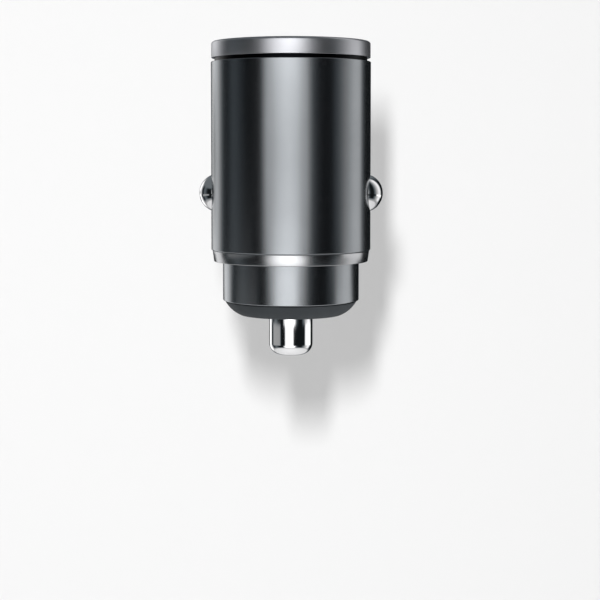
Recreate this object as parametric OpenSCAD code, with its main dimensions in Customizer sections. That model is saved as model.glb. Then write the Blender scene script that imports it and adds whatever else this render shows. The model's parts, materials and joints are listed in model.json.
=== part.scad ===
// Car USB charger plug for a 12 V vehicle socket, with one USB-A and one USB-C port.
// The axis is Z: the centre pin's tip is at the origin and the ports face +Z.
// The two sprung side contacts lie along X. All sizes are in millimetres.

/* [Barrel] */
// Outer diameter of the barrel
barrel_d = 20.8; // [20.4:0.05:21.2]
// Length of the barrel
barrel_h = 24.4; // [23.8:0.1:28]
// Wall thickness of the barrel
barrel_wall = 1.2; // [1.0:0.05:1.4]
// Chamfer at both outer edges of the barrel
barrel_chamfer = 0.1; // [0.1:0.05:0.4]

/* [Bezel ring] */
// How far the bezel ring is stepped in from the barrel
bezel_step = 0.05; // [0:0.05:0.2]
// Height of the bezel ring above the groove
bezel_h = 2.1; // [1.8:0.1:3]
// Rounding of the bezel's outer edge
bezel_round = 0.35; // [0.2:0.05:0.6]
// Width of the metal rim seen from the front
bezel_rim_w = 1.3; // [1.1:0.05:1.5]
// Chamfer inside the rim
bezel_chamfer = 0.25; // [0.1:0.05:0.4]
// Height of the groove between the bezel and the barrel
groove_h = 0.5; // [0.3:0.05:0.8]
// Depth of the groove
groove_depth = 0.42; // [0.2:0.02:0.6]
// Length of the bezel's spigot inside the barrel
bezel_spigot_h = 3.0; // [2:0.1:4]
// Width of the ledge that the port plate sits on
ledge_w = 0.3; // [0.2:0.05:0.4]

/* [Port plate] */
// How far the plate lies below the rim
plate_recess = 0.3; // [0.1:0.05:0.5]
// Thickness of the plate
plate_t = 1.6; // [1.4:0.1:1.8]
// How far the mouths of the ports lie below the plate's face
port_recess = 0.2; // [0.1:0.05:0.4]
// Chamfer around each port's mouth
mouth_chamfer = 0.3; // [0.15:0.05:0.4]

/* [USB-A port] */
// Outer width of the shell
usb_a_w = 13.1; // [12.9:0.05:13.3]
// Outer thickness of the shell
usb_a_t = 5.7; // [5.6:0.05:5.8]
// Depth of the shell
usb_a_depth = 12.0; // [11:0.1:12.4]
// Corner radius outside the shell
usb_a_corner = 0.6; // [0.4:0.05:0.9]
// Space on each side of the tongue, inside the shell's outer width
usb_a_tongue_side = 1.0; // [0.9:0.05:1.2]
// Thickness of the tongue
usb_a_tongue_t = 1.84; // [1.7:0.02:1.95]
// Space behind the tongue, on the side without contacts
usb_a_back_gap = 0.7; // [0.6:0.05:0.9]
// How far the tongue's tip lies behind the mouth
usb_a_tongue_in = 1.7; // [1:0.1:3]
// Thickness of the block that closes the shell's rear
usb_a_block_h = 2.2; // [1.8:0.1:3]

/* [USB-C port] */
// Outer width of the shell
usb_c_w = 8.94; // [8.8:0.02:9.1]
// Outer thickness of the shell
usb_c_t = 3.16; // [3.1:0.02:3.3]
// Depth of the shell
usb_c_depth = 7.3; // [6.8:0.1:7.6]
// Clear height between the board and the shell
usb_c_lift = 0.9; // [0.6:0.05:1.2]
// Space on each side of the tongue, inside the shell's outer width
usb_c_tongue_side = 1.125; // [1.05:0.025:1.2]
// Thickness of the tongue
usb_c_tongue_t = 0.7; // [0.6:0.02:0.76]
// How far the tongue's tip lies behind the mouth
usb_c_tongue_in = 1.3; // [1:0.1:1.6]
// Thickness of the block that closes the shell's rear
usb_c_block_h = 1.9; // [1.6:0.1:2.4]

/* [Port sheet metal] */
// Thickness of the sheet that both shells are folded from
sheet_t = 0.3; // [0.25:0.01:0.32]
// Thickness of the contact strips
strip_t = 0.2; // [0.15:0.01:0.22]

/* [Status light] */
// Diameter of the light window
light_d = 1.2; // [0.8:0.1:1.4]
// Place of the light window across the face
light_x = 6.6; // [6.3:0.1:6.9]
// How far the light guide reaches behind the plate
light_drop = 2.0; // [1.6:0.1:2.4]
// Thickness of the light guide's foot
light_foot_t = 0.8; // [0.6:0.1:1]
// Width and height of the light source
led_w = 1.0; // [0.8:0.1:1.2]
// Thickness of the light source
led_t = 0.7; // [0.5:0.1:0.9]

/* [Side contacts] */
// Diameter of the contact balls
ball_d = 5.0; // [4.8:0.05:5.2]
// How far each ball stands out of the barrel
ball_out = 1.6; // [1.4:0.05:1.8]
// Height of the balls above the barrel's lower edge
contact_up = 7.4; // [7.2:0.1:8]
// Travel of each ball
contact_travel = 1.5; // [1.2:0.05:1.6]
// Wall thickness of the cups that guide the balls
cup_wall = 0.4; // [0.3:0.05:0.5]
// Wire diameter of the contact springs
contact_wire = 0.3; // [0.25:0.01:0.35]
// Mean coil diameter of the contact springs
contact_coil_d = 3.0; // [2.6:0.1:3.6]
// Turns of the contact springs
contact_turns = 4; // [3:1:5]

/* [Nose] */
// Height of the collar under the barrel
collar_h = 1.5; // [1.2:0.1:2]
// How far the collar's top is stepped in from the barrel
collar_step = 0.15; // [0.05:0.05:0.3]
// Broken edge at the collar's top, which shows as a fine groove under the barrel
collar_edge = 0.1; // [0.1:0.01:0.2]
// How much the collar tapers in towards its lower edge
collar_taper = 0.2; // [0:0.05:0.4]
// Rounding of the collar's lower edge
collar_round = 0.2; // [0.1:0.05:0.3]
// Outer diameter of the nose
nose_d = 17.8; // [17.6:0.1:18.4]
// Length of the nose below the collar
nose_h = 5.1; // [4.6:0.1:5.4]
// Chamfer at the nose's lower edge
nose_chamfer = 0.12; // [0.08:0.02:0.2]
// Wall thickness of the nose
nose_wall = 0.95; // [0.8:0.05:1.1]
// Length of the nose's spigot inside the barrel
nose_spigot_h = 3.2; // [2.5:0.1:3.6]

/* [Tip insulator] */
// Height of the cone, up to the nose
cone_h = 1.9; // [1.6:0.1:2.4]
// Diameter of the cone's flat end
cone_low_d = 13.3; // [12.5:0.1:14.5]
// Diameter of the cone at the nose
cone_top_d = 17.2; // [16.8:0.1:17.4]
// Radius of the cone's bulge
cone_bulge_r = 4.0; // [3:0.5:8]
// Height of the fine step between the cone and the nose
parting_h = 0.15; // [0.1:0.05:0.25]
// Thickness of the floor that the pin passes through
insulator_floor = 2.2; // [1.8:0.1:2.4]
// Height of the snap barb
barb_h = 0.6; // [0.4:0.1:0.8]
// How far the barb stands out
barb_out = 0.3; // [0.2:0.05:0.4]

/* [Centre pin] */
// Diameter of the pin's outer end
pin_d = 5.7; // [5.4:0.1:6]
// How far the pin stands out of the cone
pin_out = 5.3; // [4.8:0.1:6]
// Rounding of the pin's end
pin_round = 1.5; // [1:0.1:2]
// How much the pin is stepped in at its stem, inside the insulator
stem_step = 0.25; // [0.2:0.05:0.35]
// Diameter of the flange that keeps the pin in
flange_d = 7.4; // [7:0.1:7.8]
// Thickness of the flange
flange_t = 0.8; // [0.6:0.1:1]
// Travel of the pin
pin_travel = 2.5; // [2:0.1:2.8]
// Wire diameter of the pin's spring
pin_wire = 0.45; // [0.4:0.01:0.5]
// Mean coil diameter of the pin's spring
pin_coil_d = 5.2; // [4.8:0.1:6]
// Turns of the pin's spring
pin_turns = 6; // [5:1:6]

/* [Circuit board] */
// Thickness of the board
board_t = 1.0; // [0.8:0.1:1.2]
// Distance between the board's edges and the barrel's wall
board_edge_gap = 1.1; // [0.8:0.05:1.4]
// Distance of the board's upper face from the axis, towards the USB-C port
board_off = 0.6; // [0.4:0.05:0.8]
// Cut corners where the board widens above the side contacts
board_cut = 0.6; // [0.3:0.1:1]
// Width of the rails that hold the board's edges
rail_w = 2.8; // [2.4:0.1:3.2]
// Height of the carrier's ring
carrier_ring_h = 2.0; // [1.6:0.1:2.4]
// Wall thickness of the carrier's ring
carrier_wall = 0.6; // [0.5:0.05:0.8]

/* [Board parts] */
// Diameter of the input capacitor
capacitor_d = 5.0; // [4:0.1:5.2]
// Length of the input capacitor
capacitor_h = 8.0; // [7:0.5:9]
// Width and height of the inductor
inductor_w = 6.2; // [5:0.1:6.4]
// Thickness of the inductor
inductor_t = 3.0; // [2:0.1:3.4]
// Width and height of the two chips
chip_w = 3.0; // [2.5:0.1:3.2]
// Thickness of the chips
chip_t = 0.85; // [0.7:0.05:1]
// Width and height of the power transistors
transistor_w = 2.6; // [2.2:0.1:2.8]
// Thickness of the power transistors
transistor_t = 0.9; // [0.7:0.05:1.1]
// Length of the small resistors and capacitors
small_w = 1.6; // [1.2:0.1:1.8]
// Width of the small resistors and capacitors
small_h = 0.8; // [0.5:0.1:0.9]
// Thickness of the small resistors and capacitors
small_t = 0.7; // [0.4:0.1:0.8]
// Small parts in each row
small_count = 4; // [3:1:4]
// Space left between parts on the board
part_gap = 0.3; // [0.2:0.05:0.35]

/* [Joining strips] */
// Width of the terminal's tab on the board
tab_w = 2.4; // [2:0.1:2.8]
// Height of the terminal's tab
tab_h = 3.4; // [3:0.1:3.6]
// Thickness of the terminal and its tab
terminal_t = 0.4; // [0.3:0.05:0.5]
// How far the terminal's disc reaches past the spring
terminal_rim = 2.0; // [1.8:0.1:2.2]
// Width of the ground clip
clip_w = 1.4; // [1:0.1:1.8]
// Thickness of the ground clip
clip_t = 0.25; // [0.2:0.01:0.3]
// Length of the ground clip's foot on the board
clip_foot = 1.6; // [1.4:0.1:2]
// Length of the ground clip's leaf on the barrel
clip_leaf = 1.5; // [1:0.1:2]
// Gap between the leaf and the barrel's wall
clip_gap = 0.1; // [0.05:0.05:0.15]

/* [Fits] */
// Radial gap of pieces that are pressed or screwed together
press_gap = 0.02; // [0.01:0.01:0.05]
// Gap around pieces that drop into place
fit_gap = 0.05; // [0.03:0.01:0.08]
// Radial gap of pieces that slide
run_gap = 0.06; // [0.03:0.01:0.09]
// Gap between a ball and its seat
seat_gap = 0.05; // [0.03:0.01:0.06]

/* [Hidden] */
$fn = 96;

// How far a cut runs past the faces that it opens
over = 1;
// How much wider the guide behind a ball is than its seat
guide_step = 0.03;

// Heights, from the pin's tip upwards
cone_low_z = pin_out;
nose_low_z = cone_low_z + cone_h;
collar_low_z = nose_low_z + nose_h;
barrel_low_z = collar_low_z + collar_h;
barrel_top_z = barrel_low_z + barrel_h;
bezel_low_z = barrel_top_z + groove_h;
top_z = bezel_low_z + bezel_h;
face_z = top_z - plate_recess;
plate_low_z = face_z - plate_t;
mouth_z = face_z - port_recess;

// Radii of the housing
barrel_r = barrel_d / 2;
barrel_in_r = barrel_r - barrel_wall;
bezel_r = barrel_r - bezel_step;
rim_r = bezel_r - bezel_rim_w;
ledge_r = rim_r - ledge_w;
spigot_r = barrel_in_r - press_gap;
collar_top_r = barrel_r - collar_step;
collar_low_r = collar_top_r - collar_taper;
nose_r = nose_d / 2;
nose_in_r = nose_r - nose_wall;

// Side contacts, measured outwards from the axis
contact_z = barrel_low_z + contact_up;
ball_r = ball_d / 2;
ball_x = barrel_r - ball_r + ball_out;
seat_r = ball_r + seat_gap;
guide_r = seat_r + guide_step;
cup_r = guide_r + cup_wall;
cup_mouth_x = barrel_in_r + 0.15;
contact_coil_r = contact_coil_d / 2;
ball_touch = ball_r + contact_wire / 2 + fit_gap;
contact_spring_x2 = ball_x - sqrt(pow(ball_touch, 2) - pow(contact_coil_r, 2));
contact_spring_x1 = contact_spring_x2 - contact_travel - contact_turns * contact_wire - 0.5;
cup_floor_x = contact_spring_x1 - contact_wire / 2 - fit_gap;
cup_back_x = cup_floor_x - cup_wall;

// Centre pin and its insulator
pin_r = pin_d / 2;
flange_r = flange_d / 2;
floor_top_z = cone_low_z + insulator_floor;
flange_low_z = floor_top_z + fit_gap;
flange_top_z = flange_low_z + flange_t;
pin_spring_z1 = flange_top_z + pin_wire / 2 + fit_gap;
pin_spring_z2 = pin_spring_z1 + pin_travel + pin_turns * pin_wire + 0.5;
terminal_z = pin_spring_z2 + pin_wire / 2 + fit_gap;
terminal_r = pin_coil_d / 2 + terminal_rim;
plug_r = nose_in_r - press_gap;
barb_z = collar_low_z + 0.2;

// Board
board_y = -board_off;
board_back_y = board_y - board_t;
board_low_z = terminal_z + terminal_t + part_gap;
carrier_low_z = contact_z + cup_r + fit_gap;
board_step_z = carrier_low_z + 0.3;
board_top_z = plate_low_z - 0.6;
board_r = barrel_in_r - board_edge_gap;
board_w = 2 * sqrt(pow(board_r, 2) - pow(board_back_y, 2));
neck_w = 2 * cup_back_x - 3 * part_gap;

// Ports
usb_a_y = board_y + fit_gap + usb_a_t / 2;
usb_a_rear_z = mouth_z - usb_a_depth;
usb_c_y = board_back_y - usb_c_lift - usb_c_t / 2;
usb_c_rear_z = mouth_z - usb_c_depth;

// Solid of revolution from a half-section drawn with radius across and height up
module turned() {
    rotate_extrude() children();
}

// Tube with square ends
module tube(r_out, r_in, z1, z2) {
    turned() translate([r_in, z1]) square([r_out - r_in, z2 - z1]);
}

// Rectangle with round corners, centred
module round_rect(w, t, r) {
    square([w - 2 * r, t], center = true);
    square([w, t - 2 * r], center = true);
    for (x = [-1, 1], y = [-1, 1]) {
        translate([x * (w / 2 - r), y * (t / 2 - r)]) circle(r = r, $fn = 32);
    }
}

// Slab drawn in the XZ plane, from y1 towards -Y
module upright(y1, t) {
    translate([0, y1, 0]) rotate([90, 0, 0]) linear_extrude(t) children();
}

// Turns a piece so that its own Z points outwards at one side contact
module on_side(side) {
    translate([0, 0, contact_z]) rotate([0, 90 * side, 0]) children();
}

// Round wire coil with closed ends, along Z
function coil_rise(u, turns, h, wire) =
    u < 1 ? u * wire :
    u > turns - 1 ? h - (turns - u) * wire :
    wire + (u - 1) * (h - 2 * wire) / (turns - 2);

module coil(coil_r, wire, turns, h, per_turn = 18, sides = 6) {
    rings = turns * per_turn;
    points = [
        for (i = [0 : rings], j = [0 : sides - 1])
            let (a = 360 * i / per_turn, b = 360 * j / sides, r = coil_r + wire / 2 * cos(b))
            [r * cos(a), r * sin(a), coil_rise(i / per_turn, turns, h, wire) + wire / 2 * sin(b)]
    ];
    skin = [
        for (i = [0 : rings - 1], j = [0 : sides - 1])
            let (a = i * sides + j, b = i * sides + (j + 1) % sides)
            each [[a, a + sides, b], [b, a + sides, b + sides]]
    ];
    first = [for (j = [0 : sides - 1]) j];
    last = [for (j = [sides - 1 : -1 : 0]) rings * sides + j];
    polyhedron(points, concat(skin, [first, last]));
}

// Housing

// Hole for one side contact: pocket for the cup, guide, ball seat and a fine outer edge
module contact_hole() {
    cylinder(r = cup_r + press_gap, h = cup_mouth_x);
    cylinder(r = guide_r, h = ball_x);
    translate([0, 0, ball_x]) sphere(r = seat_r);
    edge_x = barrel_r - 0.1;
    edge_r = sqrt(pow(seat_r, 2) - pow(edge_x - ball_x, 2));
    translate([0, 0, edge_x]) cylinder(r1 = edge_r, r2 = edge_r + over, h = over);
}

module body_barrel() {
    color("#3a3f43")
    difference() {
        turned() polygon([
            [barrel_in_r, barrel_low_z],
            [barrel_r - barrel_chamfer, barrel_low_z],
            [barrel_r, barrel_low_z + barrel_chamfer],
            [barrel_r, barrel_top_z - barrel_chamfer],
            [barrel_r - barrel_chamfer, barrel_top_z],
            [barrel_in_r, barrel_top_z]
        ]);
        for (side = [-1, 1]) on_side(side) contact_hole();
    }
}

module bezel_section() {
    difference() {
        union() {
            translate([0, bezel_low_z]) square([bezel_r - bezel_round, bezel_h]);
            translate([0, bezel_low_z]) square([bezel_r, bezel_h - bezel_round]);
            translate([bezel_r - bezel_round, top_z - bezel_round]) circle(r = bezel_round);
            translate([0, barrel_top_z]) square([bezel_r - groove_depth, groove_h]);
            translate([0, barrel_top_z - bezel_spigot_h]) square([spigot_r, bezel_spigot_h]);
        }
        translate([0, barrel_top_z - bezel_spigot_h - over]) square([ledge_r, top_z]);
        translate([0, plate_low_z]) square([rim_r, top_z]);
        polygon([
            [0, top_z - bezel_chamfer],
            [rim_r, top_z - bezel_chamfer],
            [rim_r + bezel_chamfer, top_z],
            [rim_r + bezel_chamfer, top_z + over],
            [0, top_z + over]
        ]);
    }
}

module bezel_ring() {
    color("#5a5d63") turned() bezel_section();
}

// Mouth of a port in the plate, with its chamfer
module port_cut(w, t, r, y) {
    translate([0, y, plate_low_z - over]) linear_extrude(plate_t + 2 * over) round_rect(w, t, r);
    translate([0, y, 0]) hull() {
        translate([0, 0, face_z - mouth_chamfer]) linear_extrude(0.01) round_rect(w, t, r);
        translate([0, 0, face_z]) linear_extrude(0.01)
            round_rect(w + 2 * mouth_chamfer, t + 2 * mouth_chamfer, r + mouth_chamfer);
    }
}

module port_plate() {
    color("#191a1c")
    difference() {
        translate([0, 0, plate_low_z]) cylinder(r = rim_r - fit_gap, h = plate_t);
        port_cut(usb_a_w + 2 * fit_gap, usb_a_t + 2 * fit_gap, usb_a_corner + fit_gap, usb_a_y);
        port_cut(usb_c_w + 2 * fit_gap, usb_c_t + 2 * fit_gap, usb_c_t / 2 - 0.01, usb_c_y);
        translate([light_x, usb_c_y, plate_low_z - over])
            cylinder(d = light_d + 2 * fit_gap, h = plate_t + 2 * over);
    }
}

// USB-A receptacle

// Place of one retention finger on the shell's wide walls
finger_w = 2.2;
finger_h = 5.2;
finger_slit = 0.35;
finger_x = 3.3;
finger_z = mouth_z - 2.4;
finger_bend = 3;
leg_w = 1.6;
leg_up = 3.0;
leg_z = usb_a_rear_z + leg_up;

// Window around one finger, and the finger bent inwards from its root
module finger_window(wall_y) {
    translate([-finger_w / 2 - finger_slit, wall_y - sheet_t, finger_z - finger_h])
        cube([finger_w + 2 * finger_slit, 2 * sheet_t, finger_h]);
}

module finger(wall_y, inward) {
    translate([0, wall_y, finger_z - finger_h])
        rotate([finger_bend * inward, 0, 0])
            translate([-finger_w / 2, -sheet_t / 2, -0.2]) cube([finger_w, sheet_t, finger_h]);
}

module usb_a_shell() {
    wall = usb_a_t / 2 - sheet_t / 2;
    color("silver")
    translate([0, usb_a_y, 0]) {
        difference() {
            translate([0, 0, usb_a_rear_z]) linear_extrude(usb_a_depth) difference() {
                round_rect(usb_a_w, usb_a_t, usb_a_corner);
                round_rect(usb_a_w - 2 * sheet_t, usb_a_t - 2 * sheet_t, usb_a_corner - sheet_t);
            }
            for (x = [-finger_x, finger_x]) {
                translate([x, 0, 0]) finger_window(wall);
                translate([x, 0, 0]) finger_window(-wall);
            }
        }
        for (x = [-finger_x, finger_x]) {
            translate([x, 0, 0]) finger(wall, 1);
            translate([x, 0, 0]) finger(-wall, -1);
        }
        for (side = [-1, 1]) shell_leg(side);
    }
}

// Solder leg that runs from the shell's side through the board, flush with its far face
module shell_leg(side) {
    leg_len = usb_a_corner + fit_gap + board_t;
    leg_x = side * (usb_a_w - sheet_t) / 2;
    translate([leg_x - sheet_t / 2, -usb_a_t / 2 + usb_a_corner - leg_len, leg_z])
        cube([sheet_t, leg_len, leg_w]);
}

usb_a_tongue_w = usb_a_w - 2 * usb_a_tongue_side;
tongue_high_y = usb_a_y + usb_a_t / 2 - sheet_t - usb_a_back_gap;
tongue_low_y = tongue_high_y - usb_a_tongue_t;
tongue_tip_z = mouth_z - usb_a_tongue_in;
usb_a_pins = [-3.5, -1, 1, 3.5];
usb_a_pin_w = 1.0;

module usb_a_tongue() {
    block_w = usb_a_w - 2 * sheet_t - 2 * fit_gap;
    block_t = usb_a_t - 2 * sheet_t - 2 * fit_gap;
    color("#e9e6dd")
    difference() {
        union() {
            translate([0, usb_a_y, usb_a_rear_z + 0.1]) linear_extrude(usb_a_block_h)
                round_rect(block_w, block_t, usb_a_corner - sheet_t);
            translate([-usb_a_tongue_w / 2, 0, 0]) rotate([90, 0, 90]) linear_extrude(usb_a_tongue_w)
                polygon([
                    [tongue_low_y, usb_a_rear_z + 1],
                    [tongue_high_y, usb_a_rear_z + 1],
                    [tongue_high_y, tongue_tip_z - 0.5],
                    [tongue_high_y - 0.4, tongue_tip_z],
                    [tongue_low_y + 0.3, tongue_tip_z],
                    [tongue_low_y, tongue_tip_z - 0.3]
                ]);
        }
        for (i = [0 : 3]) usb_a_strip(i, fit_gap);
    }
}

// Contact strip: along the tongue, through the block and down to the board
module usb_a_strip(i, gap = 0) {
    outer = i == 0 || i == 3;
    strip_top_z = tongue_tip_z - (outer ? 0.9 : 1.9) + gap;
    strip_y = tongue_low_y - strip_t / 2;
    foot_z = usb_a_rear_z - strip_t - 2 * fit_gap;
    w = usb_a_pin_w + 2 * gap;
    translate([usb_a_pins[i] - w / 2, strip_y - gap, foot_z])
        cube([w, strip_t + 2 * gap, strip_top_z - foot_z]);
    translate([usb_a_pins[i] - w / 2, board_y + fit_gap, foot_z])
        cube([w, strip_y + strip_t - board_y - fit_gap, strip_t]);
}

module usb_a_contacts() {
    color("gold") for (i = [0 : 3]) usb_a_strip(i);
}

// USB-C receptacle

module usb_c_outline(grow) {
    w = usb_c_w + 2 * grow;
    t = usb_c_t + 2 * grow;
    square([w - t, t], center = true);
    for (x = [-1, 1]) translate([x * (w - t) / 2, 0]) circle(d = t, $fn = 48);
}

usb_c_leg_x = 2.6;
usb_c_leg_w = 0.9;
usb_c_leg_up = 0.6;
usb_c_leg_rise = 3.5;
usb_c_tongue_w = usb_c_w - 2 * usb_c_tongue_side;

module usb_c_shell() {
    color("silver")
    translate([0, usb_c_y, 0]) {
        translate([0, 0, usb_c_rear_z]) linear_extrude(usb_c_depth) difference() {
            usb_c_outline(0);
            usb_c_outline(-sheet_t);
        }
        for (x = [-usb_c_leg_x, usb_c_leg_x], z = [usb_c_leg_up, usb_c_leg_up + usb_c_leg_rise]) {
            translate([x - usb_c_leg_w / 2, usb_c_t / 2 - sheet_t / 2, usb_c_rear_z + z])
                cube([usb_c_leg_w, usb_c_lift - fit_gap + sheet_t / 2, sheet_t]);
        }
    }
}

usb_c_tip_z = mouth_z - usb_c_tongue_in;
usb_c_pitch = 0.5;
usb_c_pin_w = 0.26;
usb_c_pins = [-5.5, -2.5, -1.5, -0.5, 0.5, 1.5, 2.5, 5.5];
usb_c_strip_t = 0.1;

module usb_c_tongue() {
    color("#1c1c1e")
    difference() {
        translate([0, usb_c_y, 0]) {
            translate([0, 0, usb_c_rear_z + 0.1]) linear_extrude(usb_c_block_h)
                usb_c_outline(-sheet_t - fit_gap);
            translate([0, 0, usb_c_rear_z + 1]) linear_extrude(usb_c_tip_z - usb_c_rear_z - 1)
                round_rect(usb_c_tongue_w, usb_c_tongue_t, 0.2);
        }
        for (face = [-1, 1], pin = usb_c_pins) usb_c_strip(face, pin, 0.02);
    }
}

// Contact strip on one face of the tongue, which ends behind the block
module usb_c_strip(face, pin, gap = 0) {
    w = usb_c_pin_w + 2 * gap;
    low_z = usb_c_rear_z - 0.4;
    y = usb_c_y + face * (usb_c_tongue_t / 2 - usb_c_strip_t / 4);
    translate([pin * usb_c_pitch - w / 2, y - usb_c_strip_t / 2 - gap, low_z - gap])
        cube([w, usb_c_strip_t + 2 * gap, usb_c_tip_z - 0.5 - low_z + 2 * gap]);
}

module usb_c_contacts() {
    color("gold") for (face = [-1, 1], pin = usb_c_pins) usb_c_strip(face, pin);
}

// Status light

light_foot_z = plate_low_z - light_drop;

module status_lens() {
    color("#e8f2ff")
    union() {
        translate([light_x, usb_c_y, light_foot_z])
            cylinder(d = light_d, h = face_z - fit_gap - light_foot_z);
        translate([light_x - light_d / 2, usb_c_y, light_foot_z])
            cube([light_d, board_back_y - fit_gap - usb_c_y, light_foot_t]);
    }
}

module status_led() {
    color("#f4f2e6")
    translate([light_x - led_w / 2, board_back_y - led_t, light_foot_z - led_w - fit_gap])
        cube([led_w, led_t, led_w]);
}

// Inner frame and circuit board

module board_outline(grow = 0) {
    w = board_w / 2 + grow;
    n = neck_w / 2 + grow;
    cut = board_cut;
    polygon([
        [-n, board_low_z - grow],
        [n, board_low_z - grow],
        [n, board_step_z - grow],
        [w - cut, board_step_z - grow],
        [w, board_step_z + cut - grow],
        [w, board_top_z + grow],
        [-w, board_top_z + grow],
        [-w, board_step_z + cut - grow],
        [-w + cut, board_step_z - grow],
        [-n, board_step_z - grow]
    ]);
}

lead_x = 1.0;
lead_r = 0.25;
lead_rise = 0.4;
capacitor_low_z = terminal_z + terminal_t + part_gap;
capacitor_top_z = capacitor_low_z + capacitor_h;
capacitor_y = board_y + 0.1 + capacitor_d / 2;
lead_z = capacitor_top_z + lead_rise;

module main_board() {
    color("#1f5a3a")
    difference() {
        upright(board_y, board_t) board_outline();
        for (side = [-1, 1]) {
            translate([side * (usb_a_w - sheet_t) / 2 - sheet_t / 2 - 0.1, board_back_y - over, leg_z - 0.1])
                cube([sheet_t + 0.2, board_t + 2 * over, leg_w + 0.2]);
            translate([side * lead_x, board_y + over, lead_z])
                rotate([90, 0, 0]) cylinder(r = lead_r + 0.1, h = board_t + 2 * over);
        }
    }
}

carrier_r = barrel_in_r - fit_gap;
rail_r = min(ledge_r, carrier_r) - fit_gap;
rail_x = max(usb_a_w / 2, light_x + light_d / 2) + fit_gap;

module board_carrier() {
    color("#26282a")
    difference() {
        union() {
            tube(carrier_r, carrier_r - carrier_wall, carrier_low_z, carrier_low_z + carrier_ring_h);
            intersection() {
                union() {
                    cylinder(r = rail_r, h = plate_low_z);
                    cylinder(r = carrier_r - carrier_wall / 2, h = carrier_low_z + carrier_ring_h);
                }
                for (x = [rail_x, -rail_x - barrel_r]) {
                    translate([x, board_y - board_t / 2 - rail_w / 2, carrier_low_z])
                        cube([barrel_r, rail_w, plate_low_z - carrier_low_z]);
                }
            }
        }
        upright(board_y + fit_gap, board_t + 2 * fit_gap) board_outline(fit_gap);
    }
}

// Can with a crimped groove near its leads, which bend down into the board
module input_capacitor() {
    can_r = capacitor_d / 2;
    crimp = 0.25;
    crimp_down = 1.5;
    color("#30343a")
    union() {
        difference() {
            translate([0, capacitor_y, capacitor_low_z]) cylinder(r = can_r, h = capacitor_h);
            translate([0, capacitor_y, capacitor_top_z - crimp_down])
                rotate_extrude() translate([can_r + crimp / 2, 0]) circle(r = crimp * 1.5, $fn = 24);
        }
        for (x = [-lead_x, lead_x]) {
            translate([x, capacitor_y, capacitor_top_z - lead_r])
                cylinder(r = lead_r, h = lead_r + lead_rise);
            translate([x, capacitor_y, lead_z]) sphere(r = lead_r);
            translate([x, capacitor_y, lead_z]) rotate([90, 0, 0])
                cylinder(r = lead_r, h = capacitor_y - board_back_y - fit_gap);
        }
    }
}

inductor_z = usb_c_rear_z - 4 * part_gap - inductor_w;

// Moulded block with cut corners and two end terminals
module power_inductor() {
    half = inductor_w / 2;
    cut = 0.8;
    pad_w = 1.3;
    pad_t = 1.0;
    color("#46484b")
    union() {
        upright(board_back_y - 0.1, inductor_t - 0.1) translate([0, inductor_z + half]) polygon([
            [-half, -half + cut], [-half + cut, -half], [half - cut, -half], [half, -half + cut],
            [half, half - cut], [half - cut, half], [-half + cut, half], [-half, half - cut]
        ]);
        for (x = [-half, half - pad_w]) {
            translate([x, board_back_y - pad_t, inductor_z + half - pad_w])
                cube([pad_w, pad_t, 2 * pad_w]);
        }
    }
}

// Parts on both sides of the inductor, stacked upwards from the step in the board
side_x = inductor_w / 2 + part_gap / 2 + chip_w / 2;
chip_z = board_step_z + part_gap;
transistor_z = chip_z + chip_w + part_gap;
small_z = transistor_z + transistor_w + part_gap;
small_pitch = (board_top_z - part_gap - small_z) / small_count;
small_x = light_x - light_d / 2 - part_gap / 2 - small_w / 2;

// Flat chip on the board's lower face, with a marking dimple
module chip(x) {
    dimple = chip_w / 6;
    color("#17181a")
    difference() {
        translate([x - chip_w / 2, board_back_y - chip_t, chip_z]) cube([chip_w, chip_t, chip_w]);
        translate([x - chip_w / 2 + dimple, board_back_y - chip_t + 0.1, chip_z + chip_w - dimple])
            rotate([90, 0, 0]) cylinder(d = dimple, h = over, $fn = 24);
    }
}

module controller_chip() {
    chip(-side_x);
}

module port_chip() {
    chip(side_x);
}

// One power transistor above each chip
module power_transistors() {
    color("#202124")
    for (side = [-1, 1]) {
        translate([side * side_x - transistor_w / 2, board_back_y - transistor_t, transistor_z])
            cube([transistor_w, transistor_t, transistor_w]);
    }
}

// Rows of small resistors and capacitors beside the USB-C port
module small_components() {
    color("#a08a68")
    for (side = [-1, 1], row = [0 : small_count - 1]) {
        translate([side * small_x - small_w / 2, board_back_y - small_t, small_z + small_pitch * row])
            cube([small_w, small_t, small_h]);
    }
}

// Bent strip from the board's neck to the barrel's wall, between the side contacts
module ground_clip() {
    wall_y = -sqrt(pow(barrel_in_r, 2) - pow(clip_w / 2, 2)) + clip_gap;
    foot_z = terminal_z + tab_h + part_gap;
    color("goldenrod")
    translate([-clip_w / 2, 0, foot_z + clip_foot]) {
        translate([0, board_back_y - clip_t, -clip_foot]) cube([clip_w, clip_t, clip_foot + clip_t]);
        translate([0, wall_y, 0]) cube([clip_w, board_back_y - wall_y, clip_t]);
        translate([0, wall_y, 0]) cube([clip_w, clip_t, clip_leaf]);
    }
}

// Side contacts

module contact_ball(side) {
    color("#d9dbde") on_side(side) translate([0, 0, ball_x]) sphere(r = ball_r);
}

module contact_cup(side) {
    color("#b89b5e")
    on_side(side) difference() {
        translate([0, 0, cup_back_x]) cylinder(r = cup_r, h = cup_mouth_x - cup_back_x);
        translate([0, 0, cup_floor_x]) cylinder(r = guide_r, h = barrel_r);
        translate([0, 0, cup_back_x - over]) cylinder(r = 0.6, h = 2 * over + cup_wall);
    }
}

module contact_spring(side) {
    color("#c8cacc")
    on_side(side) translate([0, 0, contact_spring_x1])
        coil(contact_coil_r, contact_wire, contact_turns, contact_spring_x2 - contact_spring_x1);
}

module left_contact_ball() {
    contact_ball(-1);
}

module left_contact_spring() {
    contact_spring(-1);
}

module left_contact_cup() {
    contact_cup(-1);
}

module right_contact_ball() {
    contact_ball(1);
}

module right_contact_spring() {
    contact_spring(1);
}

module right_contact_cup() {
    contact_cup(1);
}

// Nose

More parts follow.
